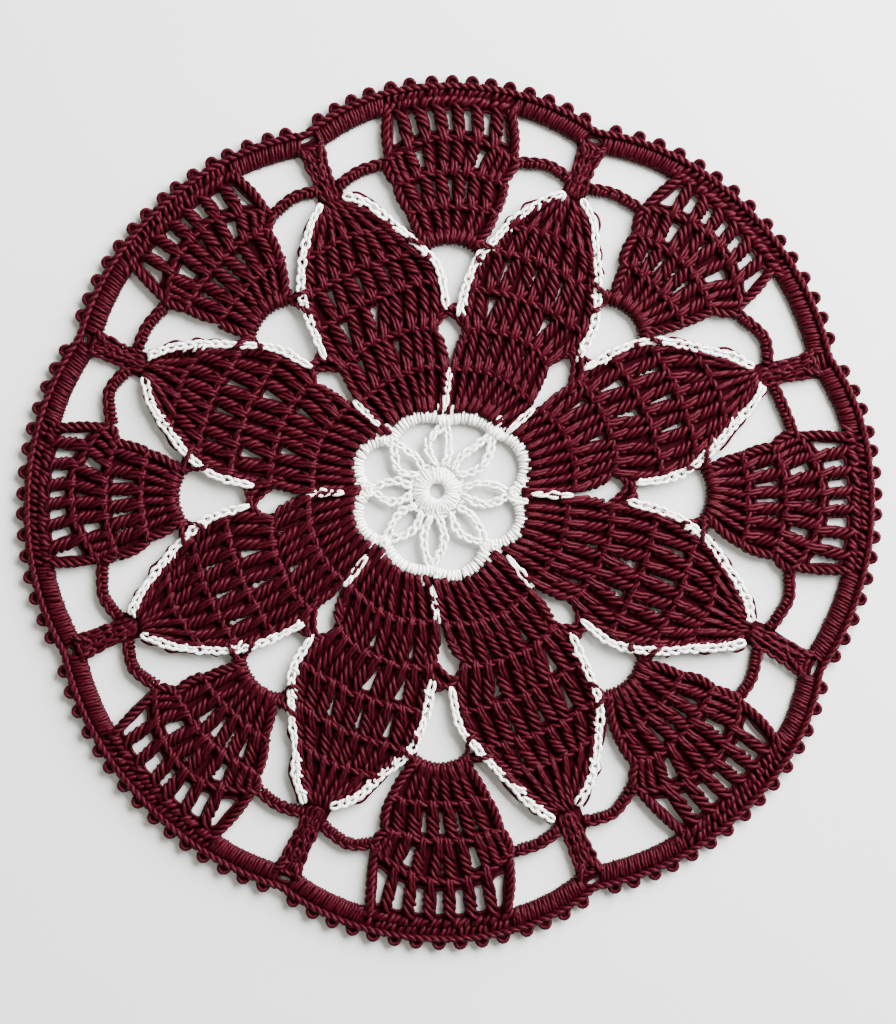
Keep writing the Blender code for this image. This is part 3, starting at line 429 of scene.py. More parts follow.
SPOKE = np.array((
    ((0.0, 0.02, 0.5), (0.0, 0.0, 1.5), (0.0, 0.1, 2.3), (0.05, 0.4, 2.45), (0.1, 0.8, 2.0),
     (0.1, 1.0, 1.1)),
))
SPUR = np.array((
    ((-0.6, -0.15, 2.6), (-0.5, 0.25, 3.1), (0.0, 0.65, 3.1), (0.7, 1.0, 2.4)),
))
PICOT = np.array((
    ((-0.7, -0.3, 0.9), (-1.0, 0.1, 1.4), (-1.0, 0.5, 1.7), (-0.65, 0.86, 1.9), (0.0, 1.0, 1.95),
     (0.65, 0.86, 1.9), (1.0, 0.5, 1.7), (1.0, 0.1, 1.4), (0.7, -0.3, 0.9)),
))
PICOT_HEART = np.array((((-0.45, 0.2, 0.9), (-0.2, 0.6, 1.1), (0.2, 0.62, 1.1), (0.45, 0.25, 0.9)),))


# ------------------------ plane geometry
def turned(turn, point):
    """Points (x, r) of a frame turned clockwise by turn degrees, in doily coordinates."""
    point = np.asarray(point, float)
    angle = np.radians(turn)
    x, r = point[..., 0], point[..., 1]
    return np.stack((x * np.cos(angle) + r * np.sin(angle), r * np.cos(angle) - x * np.sin(angle)), -1)


def fan_turn(k):
    """Degrees by which fan k's frame is turned."""
    return FAN_STEP * (k % SECTORS)


def petal_turn(k):
    """Degrees by which petal k's frame is turned."""
    return FAN_STEP * (k % SECTORS) + PETAL_TURN


def in_fan(k, point):
    """Points (x, r) of fan k's frame, in doily coordinates."""
    return turned(fan_turn(k), point)


def in_petal(k, point):
    """Points (x, r) of petal k's frame, in doily coordinates."""
    return turned(petal_turn(k), point)


def unit(vectors):
    """Vectors divided by their lengths."""
    return vectors / np.maximum(np.linalg.norm(vectors, axis=-1, keepdims=True), 1e-9)


def mixed(a, b, share):
    """a + share x (b - a)."""
    return np.asarray(a, float) + (np.asarray(b, float) - np.asarray(a, float)) * share


def curve_weights(points, stations):
    """Weights of a Catmull-Rom curve through evenly numbered points, one row a station."""
    place = np.linspace(0, points - 1, stations)
    start = np.minimum(place.astype(int), points - 2)
    u = place - start
    parts = ((-u + 2 * u ** 2 - u ** 3) / 2, (2 - 5 * u ** 2 + 3 * u ** 3) / 2,
             (u + 4 * u ** 2 - 3 * u ** 3) / 2, (-u ** 2 + u ** 3) / 2)
    weights = np.zeros((stations, points))
    rows = np.arange(stations)
    for offset, part in zip((-1, 0, 1, 2), parts):
        np.add.at(weights, (rows, np.clip(start + offset, 0, points - 1)), part)
    return weights


def walk(points, spacing):
    """Evenly spaced places on the Catmull-Rom curve through points, and unit tangents."""
    points = np.asarray(points, float)
    fine = curve_weights(len(points), (len(points) - 1) * 12 + 1) @ points
    length = np.concatenate(((0.0,), np.cumsum(np.linalg.norm(np.diff(fine, axis=0), axis=1))))
    count = max(2, int(round(length[-1] / spacing)) + 1)
    stations = np.linspace(0.0, length[-1], count)
    places = np.stack([np.interp(stations, length, fine[:, i]) for i in range(fine.shape[1])], -1)
    return places, unit(np.gradient(places, axis=0))


def left_of(tangents):
    """Unit vectors to the left of plane tangents."""
    return np.stack((-tangents[..., 1], tangents[..., 0]), -1)


def shifted(points, distance):
    """An open line moved sideways by distance, to its left as one walks along it."""
    points = np.asarray(points, float)
    ends = np.concatenate((points[:1], points, points[-1:]))
    return points + left_of(unit(ends[2:] - ends[:-2])) * distance


def softened(points):
    """An open line with one more point in each span, on a Catmull-Rom curve."""
    points = np.asarray(points, float)
    return curve_weights(len(points), 2 * len(points) - 1) @ points


def rounded(points, steps=3):
    """A closed line through points on a Catmull-Rom curve, with steps stations a span."""
    points = np.asarray(points, float)
    ring = points[np.arange(-2, len(points) + 3) % len(points)]
    curve = curve_weights(len(ring), (len(ring) - 1) * steps + 1) @ ring
    return curve[2 * steps:(len(points) + 2) * steps]


def arc_through(a, crown, b, steps):
    """Points of the circle through a, crown and b, clockwise from a to b."""
    ax, ay, bx, by, cx, cy = *a, *crown, *b
    d = 2 * (ax * (by - cy) + bx * (cy - ay) + cx * (ay - by))
    sa, sb, sc = ax * ax + ay * ay, bx * bx + by * by, cx * cx + cy * cy
    ux = (sa * (by - cy) + sb * (cy - ay) + sc * (ay - by)) / d
    uy = (sa * (cx - bx) + sb * (ax - cx) + sc * (bx - ax)) / d
    radius = hypot(ax - ux, ay - uy)
    start = atan2(ay - uy, ax - ux)
    turn = (atan2(cy - uy, cx - ux) - start) % (2 * pi) - 2 * pi
    angles = start + turn * np.linspace(0, 1, steps + 1)
    return np.stack((ux + radius * np.cos(angles), uy + radius * np.sin(angles)), -1)


# ------------------------ rim
def signed_turn(angle):
    """An angle in degrees, from -180 to 180."""
    return (np.asarray(angle, float) + 180) % 360 - 180


def pillar_angle(k):
    """Degrees, clockwise from +Y, at which pillar k meets the rim."""
    pillar = PILLARS[k % SECTORS]
    return petal_turn(k) + degrees(atan2(pillar.top_x, pillar.top_r))


def rim_radius(angle):
    """Outer radius of the rim at angles in degrees: a power curve over each fan."""
    angle = np.asarray(angle, float)
    radius = np.zeros_like(angle)
    for k in range(SECTORS):
        crown = fan_turn(k) + RIMS[k].crown_turn
        away = signed_turn(angle - crown)
        for pillar in (k, k - 1):
            share = away / signed_turn(pillar_angle(pillar) - crown)
            low = RIMS[pillar % SECTORS].pillar
            height = low + (RIMS[k].crown - low) * (1 - np.abs(share) ** SCALLOP_POWER)
            radius = np.where((share >= 0) & (share <= 1), height, radius)
    return radius


def rim_point(angle, inset):
    """Points at angles in degrees, inward by inset from the rim's edge."""
    angle = np.asarray(angle, float)
    radius = rim_radius(angle) - inset
    return np.stack((radius * np.sin(np.radians(angle)), radius * np.cos(np.radians(angle))), -1)


def rim_arc(near, far, count):
    """Points on the rim's edge between two angles, clockwise."""
    return rim_point(near + (far - near) % 360 * np.linspace(0, 1, count), 0.0)


def rim_at(turn, x, inset):
    """The rim's points that lie at x in a turned frame, moved inward by inset."""
    radius = rim_radius(turn + np.zeros_like(x))
    for _ in range(3):
        radius = rim_radius(turn + np.degrees(np.arctan2(x, radius)))
    return rim_point(turn + np.degrees(np.arctan2(x, radius - inset)), inset)


# ------------------------ petals and fans
def slot_sides(k):
    """The left and the right side of slot k, in the fan's frame, from bottom to top."""
    slot = SLOTS[k % SECTORS]
    bottom, top = (slot.bottom_x, slot.bottom_r), (slot.top_x, slot.top_r)
    (low_at, low_half), (high_at, high_half) = SLOT_LOWER, SLOT_UPPER
    low, high = mixed(bottom, top, low_at), mixed(bottom, top, high_at)
    left = [bottom, low - (low_half * SLOT_HALF, 0.0), high - (high_half * SLOT_HALF, 0.0)]
    right = [bottom, low + (low_half * SLOT_HALF, 0.0), high + (SLOT_RIGHT[0] * SLOT_HALF, SLOT_RIGHT[1])]
    return np.array(left), np.array(right)


def petal_line(k, side):
    """One whole edge of petal k, in its frame, from the medallion to the tip."""
    fan = k if side < 0 else k + 1
    slot = SLOTS[fan % SECTORS]
    left, right = slot_sides(fan)
    foot = np.array(((slot.bar_x - side * CHAIN_WIDTH / 2, slot.bar_r),))
    lower = np.concatenate((foot, right if side < 0 else left))
    return np.concatenate((turned(fan_turn(fan) - petal_turn(k), lower), EDGES[side][k % SECTORS]))


def arch(k, steps=8):
    """Middle line of the white arch below petal k."""
    lobe, after = LOBES[k % SECTORS], LOBES[(k + 1) % SECTORS]
    crown = np.array(lobe.crown) - unit(np.array(lobe.crown) - np.array(RING_CENTRE)) * ARCH_BAND / 2
    return arc_through(lobe.cusp, tuple(crown), after.cusp, steps)


def petal_chart(k):
    """The chart of petal k: the spreads' trebles, with the open steps in places of its own."""
    rows = []
    for spread in PETAL_SPREADS:
        after = [1 + (place + 2 * k) % (spread.count - 3) for place in spread.after]
        lines = []
        for ends, wide in ((spread.below, OPEN_BELOW), (spread.above, OPEN_ABOVE)):
            step = np.ones(spread.count - 1)
            step[after] = wide
            place = np.concatenate(((0.0,), np.cumsum(step) / step.sum()))
            lines.append(tuple(ends[0] + (ends[1] - ends[0]) * place))
        rows.append((*lines, len(after)))
    return rows


def petal_point(k, row, share):
    """Points on top of a petal's row, share running from -1 to 1 across the petal."""
    share = np.asarray(share, float)
    petal = PETALS[k % SECTORS]
    if row == 0:
        line = shifted(arch(k), ARCH_BAND / 2 + GAP)
        place = share * (len(line) - 1)
        steps = np.arange(len(line))
        return np.stack((np.interp(place, steps, line[:, 0]), np.interp(place, steps, line[:, 1])), -1)
    if row == len(PETAL_SPREADS):
        x, r = petal.tip_x + share * TIP_HALF, petal.tip_r - 0.9 * share ** 2
        return in_petal(k, np.stack((x, r), -1))
    r = petal[row - 1] - PETAL_SAG[row - 1] * share * share
    sides = [petal_line(k, side) for side in (-1, 1)]
    left, right = [np.interp(r, line[:, 1], line[:, 0]) for line in sides]
    return in_petal(k, np.stack((left + (right - left) * (share + 1) / 2, r), -1))


def fan_point(k, row, share):
    """Points on top of a fan's row, share running from -1 to 1 across the fan."""
    share = np.asarray(share, float)
    fan, side = FANS[k % SECTORS], FAN_SIDES[k % SECTORS]
    half = (share + 1) / 2
    if row == 4:
        return rim_at(fan_turn(k), side.left_top + (side.right_top - side.left_top) * half, HEAD_INSET)
    if row == 0:
        x, r = fan.base_x + share * BASE_HALF, fan.base_r + 0.6 - FAN_SAG[0] * share ** 2
    elif row == 1:
        x, r = side.left_1 + (side.right_1 - side.left_1) * half, fan.row_1 - FAN_SAG[1] * share ** 2
    elif row == 2:
        x, r = side.left_2 + (side.right_2 - side.left_2) * half, fan.row_2 - FAN_SAG[2] * share ** 2
    else:
        x = side.left_x + (side.right_x - side.left_x) * half
        end = np.where(share < 0, side.left_r, side.right_r)
        r = fan.row_3 + (end - fan.row_3) * np.abs(share) ** FAN_HEAD_POWER
    return in_fan(k, np.stack((x, r), -1))


def row_ends(point_on, k, row, stitches):
    """Feet and heads of a row's trebles, and the numbers of its open gaps.

    The two feet below an open gap are drawn together, by the share GATHER of the room
    between them, so that the gap narrows to its lower end.
    """
    below, above, open_gaps = stitches
    feet, heads = point_on(k, row, below), point_on(k, row + 1, above)
    apart = np.diff(feet, axis=0)
    wide = np.linalg.norm(apart, axis=1)
    widest = np.maximum(wide, np.linalg.norm(np.diff(heads, axis=0), axis=1))
    chosen = np.argsort(-widest)[:open_gaps]
    draw = np.zeros_like(apart)
    room = np.maximum(wide[chosen] - FOOT_WIDTH, 0.0)
    draw[chosen] = unit(apart[chosen]) * (0.5 * GATHER * room)[:, None]
    feet = feet + np.concatenate((draw, draw[:1] * 0)) - np.concatenate((draw[:1] * 0, draw))
    return feet, heads, chosen


def stitch_gaps(point_on, k, chart):
    """The open gaps between the trebles of one petal or fan."""
    gaps = []
    for row, stitches in enumerate(chart):
        feet, heads, chosen = row_ends(point_on, k, row, stitches)
        rungs = feet + (heads - feet) * np.array(GROUND_RUNGS)[:, None, None]
        lefts, rights = rungs[:, :-1], rungs[:, 1:]
        wide = np.linalg.norm(rights - lefts, axis=-1, keepdims=True)
        inset = np.minimum(GROUND_POST / wide, PINCH)
        near, far = mixed(lefts, rights, inset), mixed(lefts, rights, 1 - inset)
        gaps += [rounded(np.concatenate((near[:, i], far[::-1, i]))) for i in chosen]
    return gaps


def fan_foot(k, share, lift):
    """Points below a fan's foot, moved outward by lift, share running from -1 to 1."""
    fan = FANS[k % SECTORS]
    x, r = fan.base_x + share * BASE_HALF, fan.base_r + lift - FOOT_DROP * share ** 2
    return in_fan(k, np.stack((x, r), -1))


def fan_side(k, side):
    """One side of fan k from its foot to the bridge, moved outward."""
    fan = FANS[k % SECTORS]
    foot = [in_fan(k, (fan.base_x + side * a * BASE_HALF, fan.base_r + b)) for a, b in FAN_CORNER]
    line = foot + [fan_point(k, row, float(side)) for row in (1, 2, 3)]
    return shifted(line, -side * SIDE_REACH)


def petal_edge(k, side, stations=EDGE):
    """The chosen stations of a petal's white chain, in doily coordinates."""
    edge = EDGES[side][k % SECTORS]
    return in_petal(k, [getattr(edge, name) for name in stations.split()])


def bridge_line(k, side):
    """Middle line of a bridge from petal k's pillar to the fan beside it."""
    bridge = BRIDGES[k]
    near, mid = (bridge.left_near, bridge.left_mid) if side < 0 else (bridge.right_near, bridge.right_mid)
    fan = k if side < 0 else (k + 1) % SECTORS
    return np.array((in_petal(k, near), in_petal(k, mid), fan_point(fan, 3, -float(side))))


# ------------------------ openings of the lace
def inner_window(k, side):
    """The window between a petal's flank, the bridge and the side of the fan."""
    fan = k if side < 0 else k + 1
    flank = softened(petal_edge(k, side, "join shoulder high tip"))
    flank = shifted(flank, -side * EDGE_REACH)
    flank[0] = mixed(flank[0], flank[1], 0.4)
    bridge = shifted(bridge_line(k, side), -side * CORD / 2)
    return np.concatenate((flank, bridge[:2], fan_side(fan, -side)[::-1]))


def rim_window(k, side):
    """The window between a bridge, the pillar, the rim and the outer treble of the fan."""
    fan = k if side < 0 else k + 1
    turn = fan_turn(fan)
    ends, pillar, near = FAN_SIDES[fan % SECTORS], PILLARS[k], BRIDGES[k]
    if side < 0:
        top_x, foot_x, foot_r, near_r = ends.right_top, ends.right_x, ends.right_r, near.left_near[1]
    else:
        top_x, foot_x, foot_r, near_r = ends.left_top, ends.left_x, ends.left_r, near.right_near[1]
    post_top = rim_at(turn, np.array(top_x), GROUND_BAND - POST_TOP)
    post_foot = turned(turn, (foot_x, foot_r + POST_FOOT))
    belly = turned(turn, ((top_x + foot_x) / 2 - side * BELLY_ASIDE,
                          foot_r + BELLY_SHARE * (BELLY_TOP - foot_r)))
    bridge = shifted(bridge_line(k, side), side * CORD / 2)
    (foot_share, foot_out), (top_share, top_out) = WINDOW_FOOT, WINDOW_TOP
    corners = in_petal(k, ((pillar.foot_x + side * PILLAR * foot_share, near_r + foot_out),
                           (pillar.top_x + side * PILLAR * top_share, pillar.top_r + top_out)))
    start = pillar_angle(k) + side * WINDOW_TURN
    span = signed_turn(degrees(atan2(*post_top)) - start)
    rim = rim_point(start + span * RIM_SHARES, GROUND_BAND)
    return np.array((*corners, *rim, post_top, belly, post_foot, bridge[1], bridge[0]))


def throat(k):
    """The opening below a fan's foot, between the white chains of two petals."""
    before = (k - 1) % SECTORS
    left = shifted(softened(petal_edge(before, 1, "foot waist join")), -EDGE_REACH)
    right = shifted(softened(petal_edge(k, -1, "foot waist join")), EDGE_REACH)
    fan = FANS[k]
    bottom = in_fan(k, [(fan.joint_x + a, fan.joint_r + b) for a, b in THROAT_FOOT])
    crown = fan_foot(k, np.array((-1.05, -0.8, -0.4, 0.0, 0.4, 0.8, 1.05)), -0.2)
    left[-1], right[-1] = mixed(left[-2], left[-1], 0.5), mixed(right[-2], right[-1], 0.5)
    return np.concatenate((bottom, left, crown, right[::-1]))


def slot_outline(k):
    """The slot between the petals on both sides of fan k, rounded."""
    left, right = slot_sides(k)
    slot = SLOTS[k]
    top = np.array(((slot.top_x, slot.top_r),))
    return in_fan(k, rounded(np.concatenate((left, top, right[1:][::-1]))))


def small_gaps(k):
    """The three-cornered gap beside a joint, and the gap above a pillar if it has one."""
    fan, pillar = FANS[k], PILLARS[k]
    beside = np.array(JOINT_GAP) + (fan.joint_x + JOINT_GAP_AT[0], fan.joint_r + JOINT_GAP_AT[1])
    above = np.array(PILLAR_GAP) * (pillar.gap, 1.0) + (pillar.top_x, pillar.top_r)
    gaps = [in_fan(k, rounded(beside))]
    return gaps + [in_petal(k, rounded(above))] if pillar.gap else gaps


def medallion_edge(spare):
    """The medallion's outer edge, moved outward by spare: eight arches between cusps."""
    points = []
    for k in range(SECTORS):
        points += list(shifted(arch(k), ARCH_BAND / 2 + spare)[1:-1])
        cusp = np.array(LOBES[(k + 1) % SECTORS].cusp)
        points.append(cusp + unit(cusp - RING_CENTRE) * (ARCH_BAND / 2 + spare))
    return np.array(points)


def loop_sides(k):
    """Left and right side of the chain loop k, from the ring to the cusp."""
    lobe = LOBES[k % SECTORS]
    centre, cusp, middle = (np.array(p, float) for p in (RING_CENTRE, lobe.cusp, lobe.loop))
    along = unit(cusp - centre)
    across = np.array((-along[1], along[0]))
    foot = centre + along * RING_OUTER
    stations = np.array((foot, (foot + middle) / 2, middle, (middle + cusp) / 2,
                         cusp - along * ARCH_BAND / 2))
    reach = across * LOOP_HALF * np.array(LOOP_SHAPE)[:, None]
    return stations + reach, stations - reach


# ------------------------ strands
def sweep(controls, radius, stations, shade, reference=None):
    """Closed tubes round Catmull-Rom curves.

    controls is (tubes, points, 3) and radius one number a tube.  A ring of each tube is
    centre + radius x (cos a x side + sin a x other), where side is the reference made
    square to the tangent and other is tangent x side.  Both ends draw in to a point.
    """
    controls = np.asarray(controls, float)
    path = np.einsum("nc,mcx->mnx", curve_weights(controls.shape[1], stations), controls)
    tubes = len(path)
    tangent = unit(np.gradient(path, axis=1))
    if reference is None:
        reference = unit(np.cross(UP, path[:, -1] - path[:, 0]))[:, None, :]
    side = unit(reference - (reference * tangent).sum(-1, keepdims=True) * tangent)
    other = np.cross(tangent, side)
    radius = np.broadcast_to(np.asarray(radius, float), (tubes,))
    shade = np.broadcast_to(np.asarray(shade, float), (tubes,))
    profile = np.ones(stations)
    profile[[0, -1]] = TUBE_END
    around = np.arange(SIDES)
    angle = 2 * pi * around / SIDES
    spokes = np.cos(angle)[:, None] * side[:, :, None] + np.sin(angle)[:, None] * other[:, :, None]
    rings = path[:, :, None] + spokes * (radius[:, None] * profile)[..., None, None]
    cap = radius[:, None] * TUBE_CAP
    poles = np.stack((path[:, 0] - tangent[:, 0] * cap, path[:, -1] + tangent[:, -1] * cap), 1)
    verts = np.concatenate((rings.reshape(tubes, -1, 3), poles), 1)
    base = (np.arange(tubes) * verts.shape[1])[:, None, None, None]
    after = (around + 1) % SIDES
    ring = np.arange(stations - 1)[:, None] * SIDES
    quad = np.stack((ring + around, ring + after, ring + SIDES + after, ring + SIDES + around), -1)
    pole, last = stations * SIDES, (stations - 1) * SIDES
    tri = np.stack((np.stack((np.full(SIDES, pole), after, around), -1),
                    np.stack((np.full(SIDES, pole + 1), last + around, last + after), -1)))
    # The UV map runs along the thread in millimetres, and once round it.
    steps = np.linalg.norm(np.diff(path, axis=1), axis=-1)
    length = np.concatenate((np.zeros((tubes, 1)), np.cumsum(steps, axis=1)), 1)
    length = (length + shade[:, None] * SHADE_SHIFT)[..., None, None]
    u = np.concatenate((length[:, :-1], length[:, :-1], length[:, 1:], length[:, 1:]), -1)
    v = (around[:, None] + (0, 1, 1, 0)) / SIDES
    end_u, end_v = length[:, [0, -1]], np.repeat((around[:, None] + 0.5) / SIDES, 3, axis=1)
    return {
        "verts": verts.reshape(-1, 3),
        "quads": (base + quad).reshape(-1, 4),
        "tris": (base + tri).reshape(-1, 3),
        "quad_uv": np.stack(np.broadcast_arrays(u, v), -1).reshape(-1, 2),
        "tri_uv": np.stack(np.broadcast_arrays(end_u, end_v), -1).reshape(-1, 2),
        "shade": np.repeat(shade, verts.shape[1]),
    }


def lay(chart, foot, head, half, rng, wobble=0.03, bow=0.0):
    """Control points of a chart's strands, laid from each foot to each head.

    A point is foot + along x (head - foot) + across x half x (unit vector to the right),
    at its height above the ground, and each point wobbles a little at random.  A bowed
    stitch moves to the right by bow x 4 x along x (1 - along).
    """
    foot, head = np.asarray(foot, float), np.asarray(head, float)
    reach = (head - foot)[:, None, None]
    right = -left_of(unit(reach))
    jitter = rng.normal(0, wobble, (len(foot),) + chart.shape)
    across, along, above = np.moveaxis(chart + jitter * JITTER, -1, 0)[..., None]
    half, bow = (np.broadcast_to(np.asarray(size, float), (len(foot),))[:, None, None, None]
                 for size in (half, bow))
    aside = across * half + bow * 4 * along * (1 - along)
    plane = foot[:, None, None] + reach * along + right * aside
    return np.concatenate((plane, above), -1).reshape(-1, chart.shape[1], 3)


def shades(count, rng):
    """One random shade a strand, round a middle of 0.5."""
    return np.clip(rng.normal(0.5, 0.5 / 3, count), 0.0, 1.0)


def strands(controls, radius, rng, stations=8, reference=None):
    """Tubes of random shades."""
    return sweep(controls, radius, stations, shades(len(controls), rng), reference)


def raised(line, heights):
    """A plane line with heights: one for all its points, or one for each."""
    return np.column_stack((line, np.broadcast_to(heights, len(line))))


def swept(path, radius, rng, stations=None):
    """One thread along a path (x, y, height)."""
    return sweep(path[None], radius, stations or len(path), shades(1, rng), UP)


def core(line, radius, height, rng):
    """One plain strand along a line, under wraps."""
    return swept(raised(walk(line, 2.0)[0], height), radius, rng)


def hem(contour, radius, height, rng):
    """A thread round an opening, so that its edge is a thread and not the ground."""
    path = raised(np.concatenate((contour, contour[:1])), height)
    return swept(path, radius, rng, 2 * len(path))


def rope(line, kind, rng):
    """A rope: each ply runs on a circle round the line, one turn a pitch."""
    line = np.asarray(line, float)
    places, tangents = walk(raised(line, kind.height) if line.shape[1] == 2 else line, kind.spacing)
    flat = unit(np.cross(UP, tangents))
    made = []
    for ply in range(kind.plies):
        phase = 2 * pi * (np.arange(len(places)) * kind.spacing / kind.pitch + ply / kind.plies)
        circle = flat * np.cos(phase)[:, None] + UP * np.sin(phase)[:, None]
        made.append(swept(places + circle * kind.coil, kind.radius, rng))
    return made


def band(line, wraps, rng, side=1):
    """Parallel wraps over a line, from inner to outer, measured to its left, or to its right
    where side is -1."""
    places, tangents = walk(line, wraps.pitch)
    places = places + tangents * rng.normal(0, WRAP_STEP * wraps.pitch, (len(places), 1))
    out = left_of(tangents) * side
    foot, head = places + out * wraps.inner, places + out * wraps.outer
    controls = lay(WRAP, foot, head, wraps.lean, rng, wraps.wobble)
    controls[..., 2] += wraps.lift
    radii = wraps.radius * rng.normal(1.0, WRAP_THREAD, len(controls))
    return strands(controls, radii, rng, stations=7)


def chain(line, links, rng):
    """Chain links along a line: each is two strands that part and meet in the next one.

    The first link reaches back by the share tail of the pitch, and is slimmer.
    """
    places, tangents = walk(line, links.pitch)
    places, tangents = places[:-1], tangents[:-1]
    heads = places + tangents * links.pitch
    feet = places + rng.normal(0, links.loose, places.shape)
    feet[0] -= tangents[0] * links.tail * links.pitch
    width = links.half * rng.uniform(*LINK_RANGE, len(feet))
    width[0] *= FIRST_LINK
    controls = lay(LINK, feet, heads, width, rng, links.loose)
    controls[..., 2] += links.height
    return strands(controls, links.radius, rng)


def posts(point_on, k, rows, rng, radius, roped):
    """All trebles of one petal or fan: the chart's strands between two row lines.

    Where roped is set, the first and the last of a row are twisted ropes, bowed outward.
    """
    made = []
    for row, stitches in enumerate(rows):
        foot, head, chosen = row_ends(point_on, k, row, stitches)
        foot = foot + rng.normal(0, FOOT_LOOSE, foot.shape)
        head = head + rng.normal(0, HEAD_LOOSE, head.shape)
        room = sum(np.linalg.norm(np.diff(line, axis=0), axis=1) / 4 for line in (foot, head))
        spread = np.setdiff1d(np.flatnonzero(room > WIDE_STEP / 2), chosen)
        room[chosen] = np.minimum(room[chosen], OPEN_ROOM)
        room[spread] /= 2
        half = (np.append(room, room[-1]) + np.insert(room, 0, room[0])) / 2
        half = np.insert(half, spread + 1, room[spread])
        foot = np.insert(foot, spread + 1, mixed(foot[spread], foot[spread + 1], 0.5), axis=0)
        head = np.insert(head, spread + 1, mixed(head[spread], head[spread + 1], 0.5), axis=0)
        half = np.clip(half - radius * 0.9, HALF_LEAST, HALF_MOST) * rng.uniform(*HALF_RANGE, len(half))
        bow = BOW * np.linspace(-1, 1, len(foot)) ** BOW_POWER + rng.normal(0, BOW_LOOSE, len(foot))
        if roped:
            middle = mixed(foot, head, 0.5) - left_of(unit(head - foot)) * bow[:, None]
            for i in (0, -1):
                made += rope((foot[i], middle[i], head[i]), SIDE_ROPE, rng)
            foot, head, half, bow = foot[1:-1], head[1:-1], half[1:-1], bow[1:-1]
        # In the first row no strand reaches below the stitch's foot.
        chart = TREBLE if row else np.maximum(TREBLE, (-9.0, 0.0, 0.0))
        controls = lay(chart, foot, head, half, rng, bow=bow)
        controls[..., 2] += np.repeat(rng.normal(0, LIFT_LOOSE, len(foot)), len(TREBLE))[:, None]
        radii = radius * rng.normal(*TREBLE_THREAD, len(controls))
        made.append(strands(controls, radii, rng, stations=7))
    return made


def trebles(point_on, k, chart, rng, radius, reach, roped=False):
    """A petal's or a fan's trebles, a hem round each open gap and a rope along each row's
    line, over the share reach of its width."""
    parts = posts(point_on, k, chart, rng, radius, roped)
    parts += [hem(gap, *STITCH_HEM, rng) for gap in stitch_gaps(point_on, k, chart)]
    for row in range(1, len(chart)):
        line = point_on(k, row, np.linspace(-reach, reach, 13))
        parts += rope(line + rng.normal(0, ROW_LOOSE, line.shape), ROW_ROPE, rng)
    return parts


def set_down(turn, origin, path):
    """A path (x, r, height) about an origin in a turned frame, in doily coordinates."""
    path = np.asarray(path, float)
    return raised(turned(turn, path[:, :2] + origin), path[:, 2])


def tie(start, landing, share, beyond, heights, rng):
    """A cord from a fan's foot over a white chain: its second point lies the share of the
    way to the landing, and its last one beyond it."""
    plane = np.array((start, mixed(start, landing, share), landing, landing + beyond))
    return rope(raised(plane, heights), TIE_ROPE, rng)


# ------------------------ pieces and materials
def linear(code):
    """A colour from its sRGB hex code, as linear red, green, blue."""
    value = np.array([int(code[i:i + 2], 16) / 255 for i in (1, 3, 5)])
    return tuple(np.where(value <= 0.04045, value / 12.92, ((value + 0.055) / 1.055) ** 2.4))


def woven_piece(name, parts, material, nodes):
    """One mesh from several bundles of tubes, given to its body and CAD nodes."""
    if not parts:
        raise RuntimeError(f"{name} has no threads")
    start = np.cumsum([0] + [len(part["verts"]) for part in parts])
    verts = np.concatenate([part["verts"] for part in parts]) * MM
    verts[:, 2] = np.maximum(verts[:, 2], TABLE_CLEAR * MM)
    quads = np.concatenate([part["quads"] + s for part, s in zip(parts, start)])
    tris = np.concatenate([part["tris"] + s for part, s in zip(parts, start)])
    mesh = bpy.data.meshes.new(name)
    mesh.vertices.add(len(verts))
    mesh.vertices.foreach_set("co", verts.ravel())
    mesh.loops.add(quads.size + tris.size)
    mesh.loops.foreach_set("vertex_index", np.concatenate((quads.ravel(), tris.ravel())))
    mesh.polygons.add(len(quads) + len(tris))
    mesh.polygons.foreach_set("loop_start", np.concatenate(
        (np.arange(len(quads)) * 4, quads.size + np.arange(len(tris)) * 3)))
    mesh.polygons.foreach_set("use_smooth", np.ones(len(quads) + len(tris), bool))
    uv = np.concatenate([part["quad_uv"] for part in parts] + [part["tri_uv"] for part in parts])
    mesh.uv_layers.new(name="thread").data.foreach_set("uv", uv.ravel().astype(np.float32))
    shade = np.concatenate([part["shade"] for part in parts])
    mesh.attributes.new("shade", "FLOAT", "POINT").data.foreach_set("value", shade.astype(np.float32))
    mesh.update()
    mesh.validate()
    mesh.materials.append(material)
    return placed(bpy.data.objects.new(name, mesh), nodes)


def placed(piece, nodes):
    """Links a piece to the scene, and gives it its body and CAD nodes."""
    bpy.context.scene.collection.objects.link(piece)
    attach(piece, "root")
    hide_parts(*nodes)
    return piece


def burgundy_piece(name, parts):
    """A piece of the lace."""
    return woven_piece(name, parts, cotton("mercerised_cotton_burgundy", BURGUNDY),
                       ("lace_body",))


def white_piece(name, parts, nodes):
    """A piece of the white chains or of the medallion."""
    return woven_piece(name, parts, cotton("mercerised_cotton_white", WHITE), nodes)


def add_node(tree, kind, settings=None, values=None, links=()):
    """Adds a shader node, sets its properties and sockets, and links others to it, each
    given as (node, output, socket)."""
    node = tree.nodes.new("ShaderNode" + kind)
    for key, value in (settings or {}).items():
        setattr(node, key, value)
    for key, value in (values or {}).items():
        node.inputs[key].default_value = value
    for source, output, socket in links:
        tree.links.new(source.outputs[output], node.inputs[socket])
    return node


def shaded(name, roughness, specular):
    """A new material, its node tree and its shader."""
    material = bpy.data.materials.new(name)
    material.use_nodes = True
    shader = material.node_tree.nodes["Principled BSDF"]
    shader.inputs["Roughness"].default_value = roughness
    shader.inputs["Specular IOR Level"].default_value = specular
    return material, material.node_tree, shader


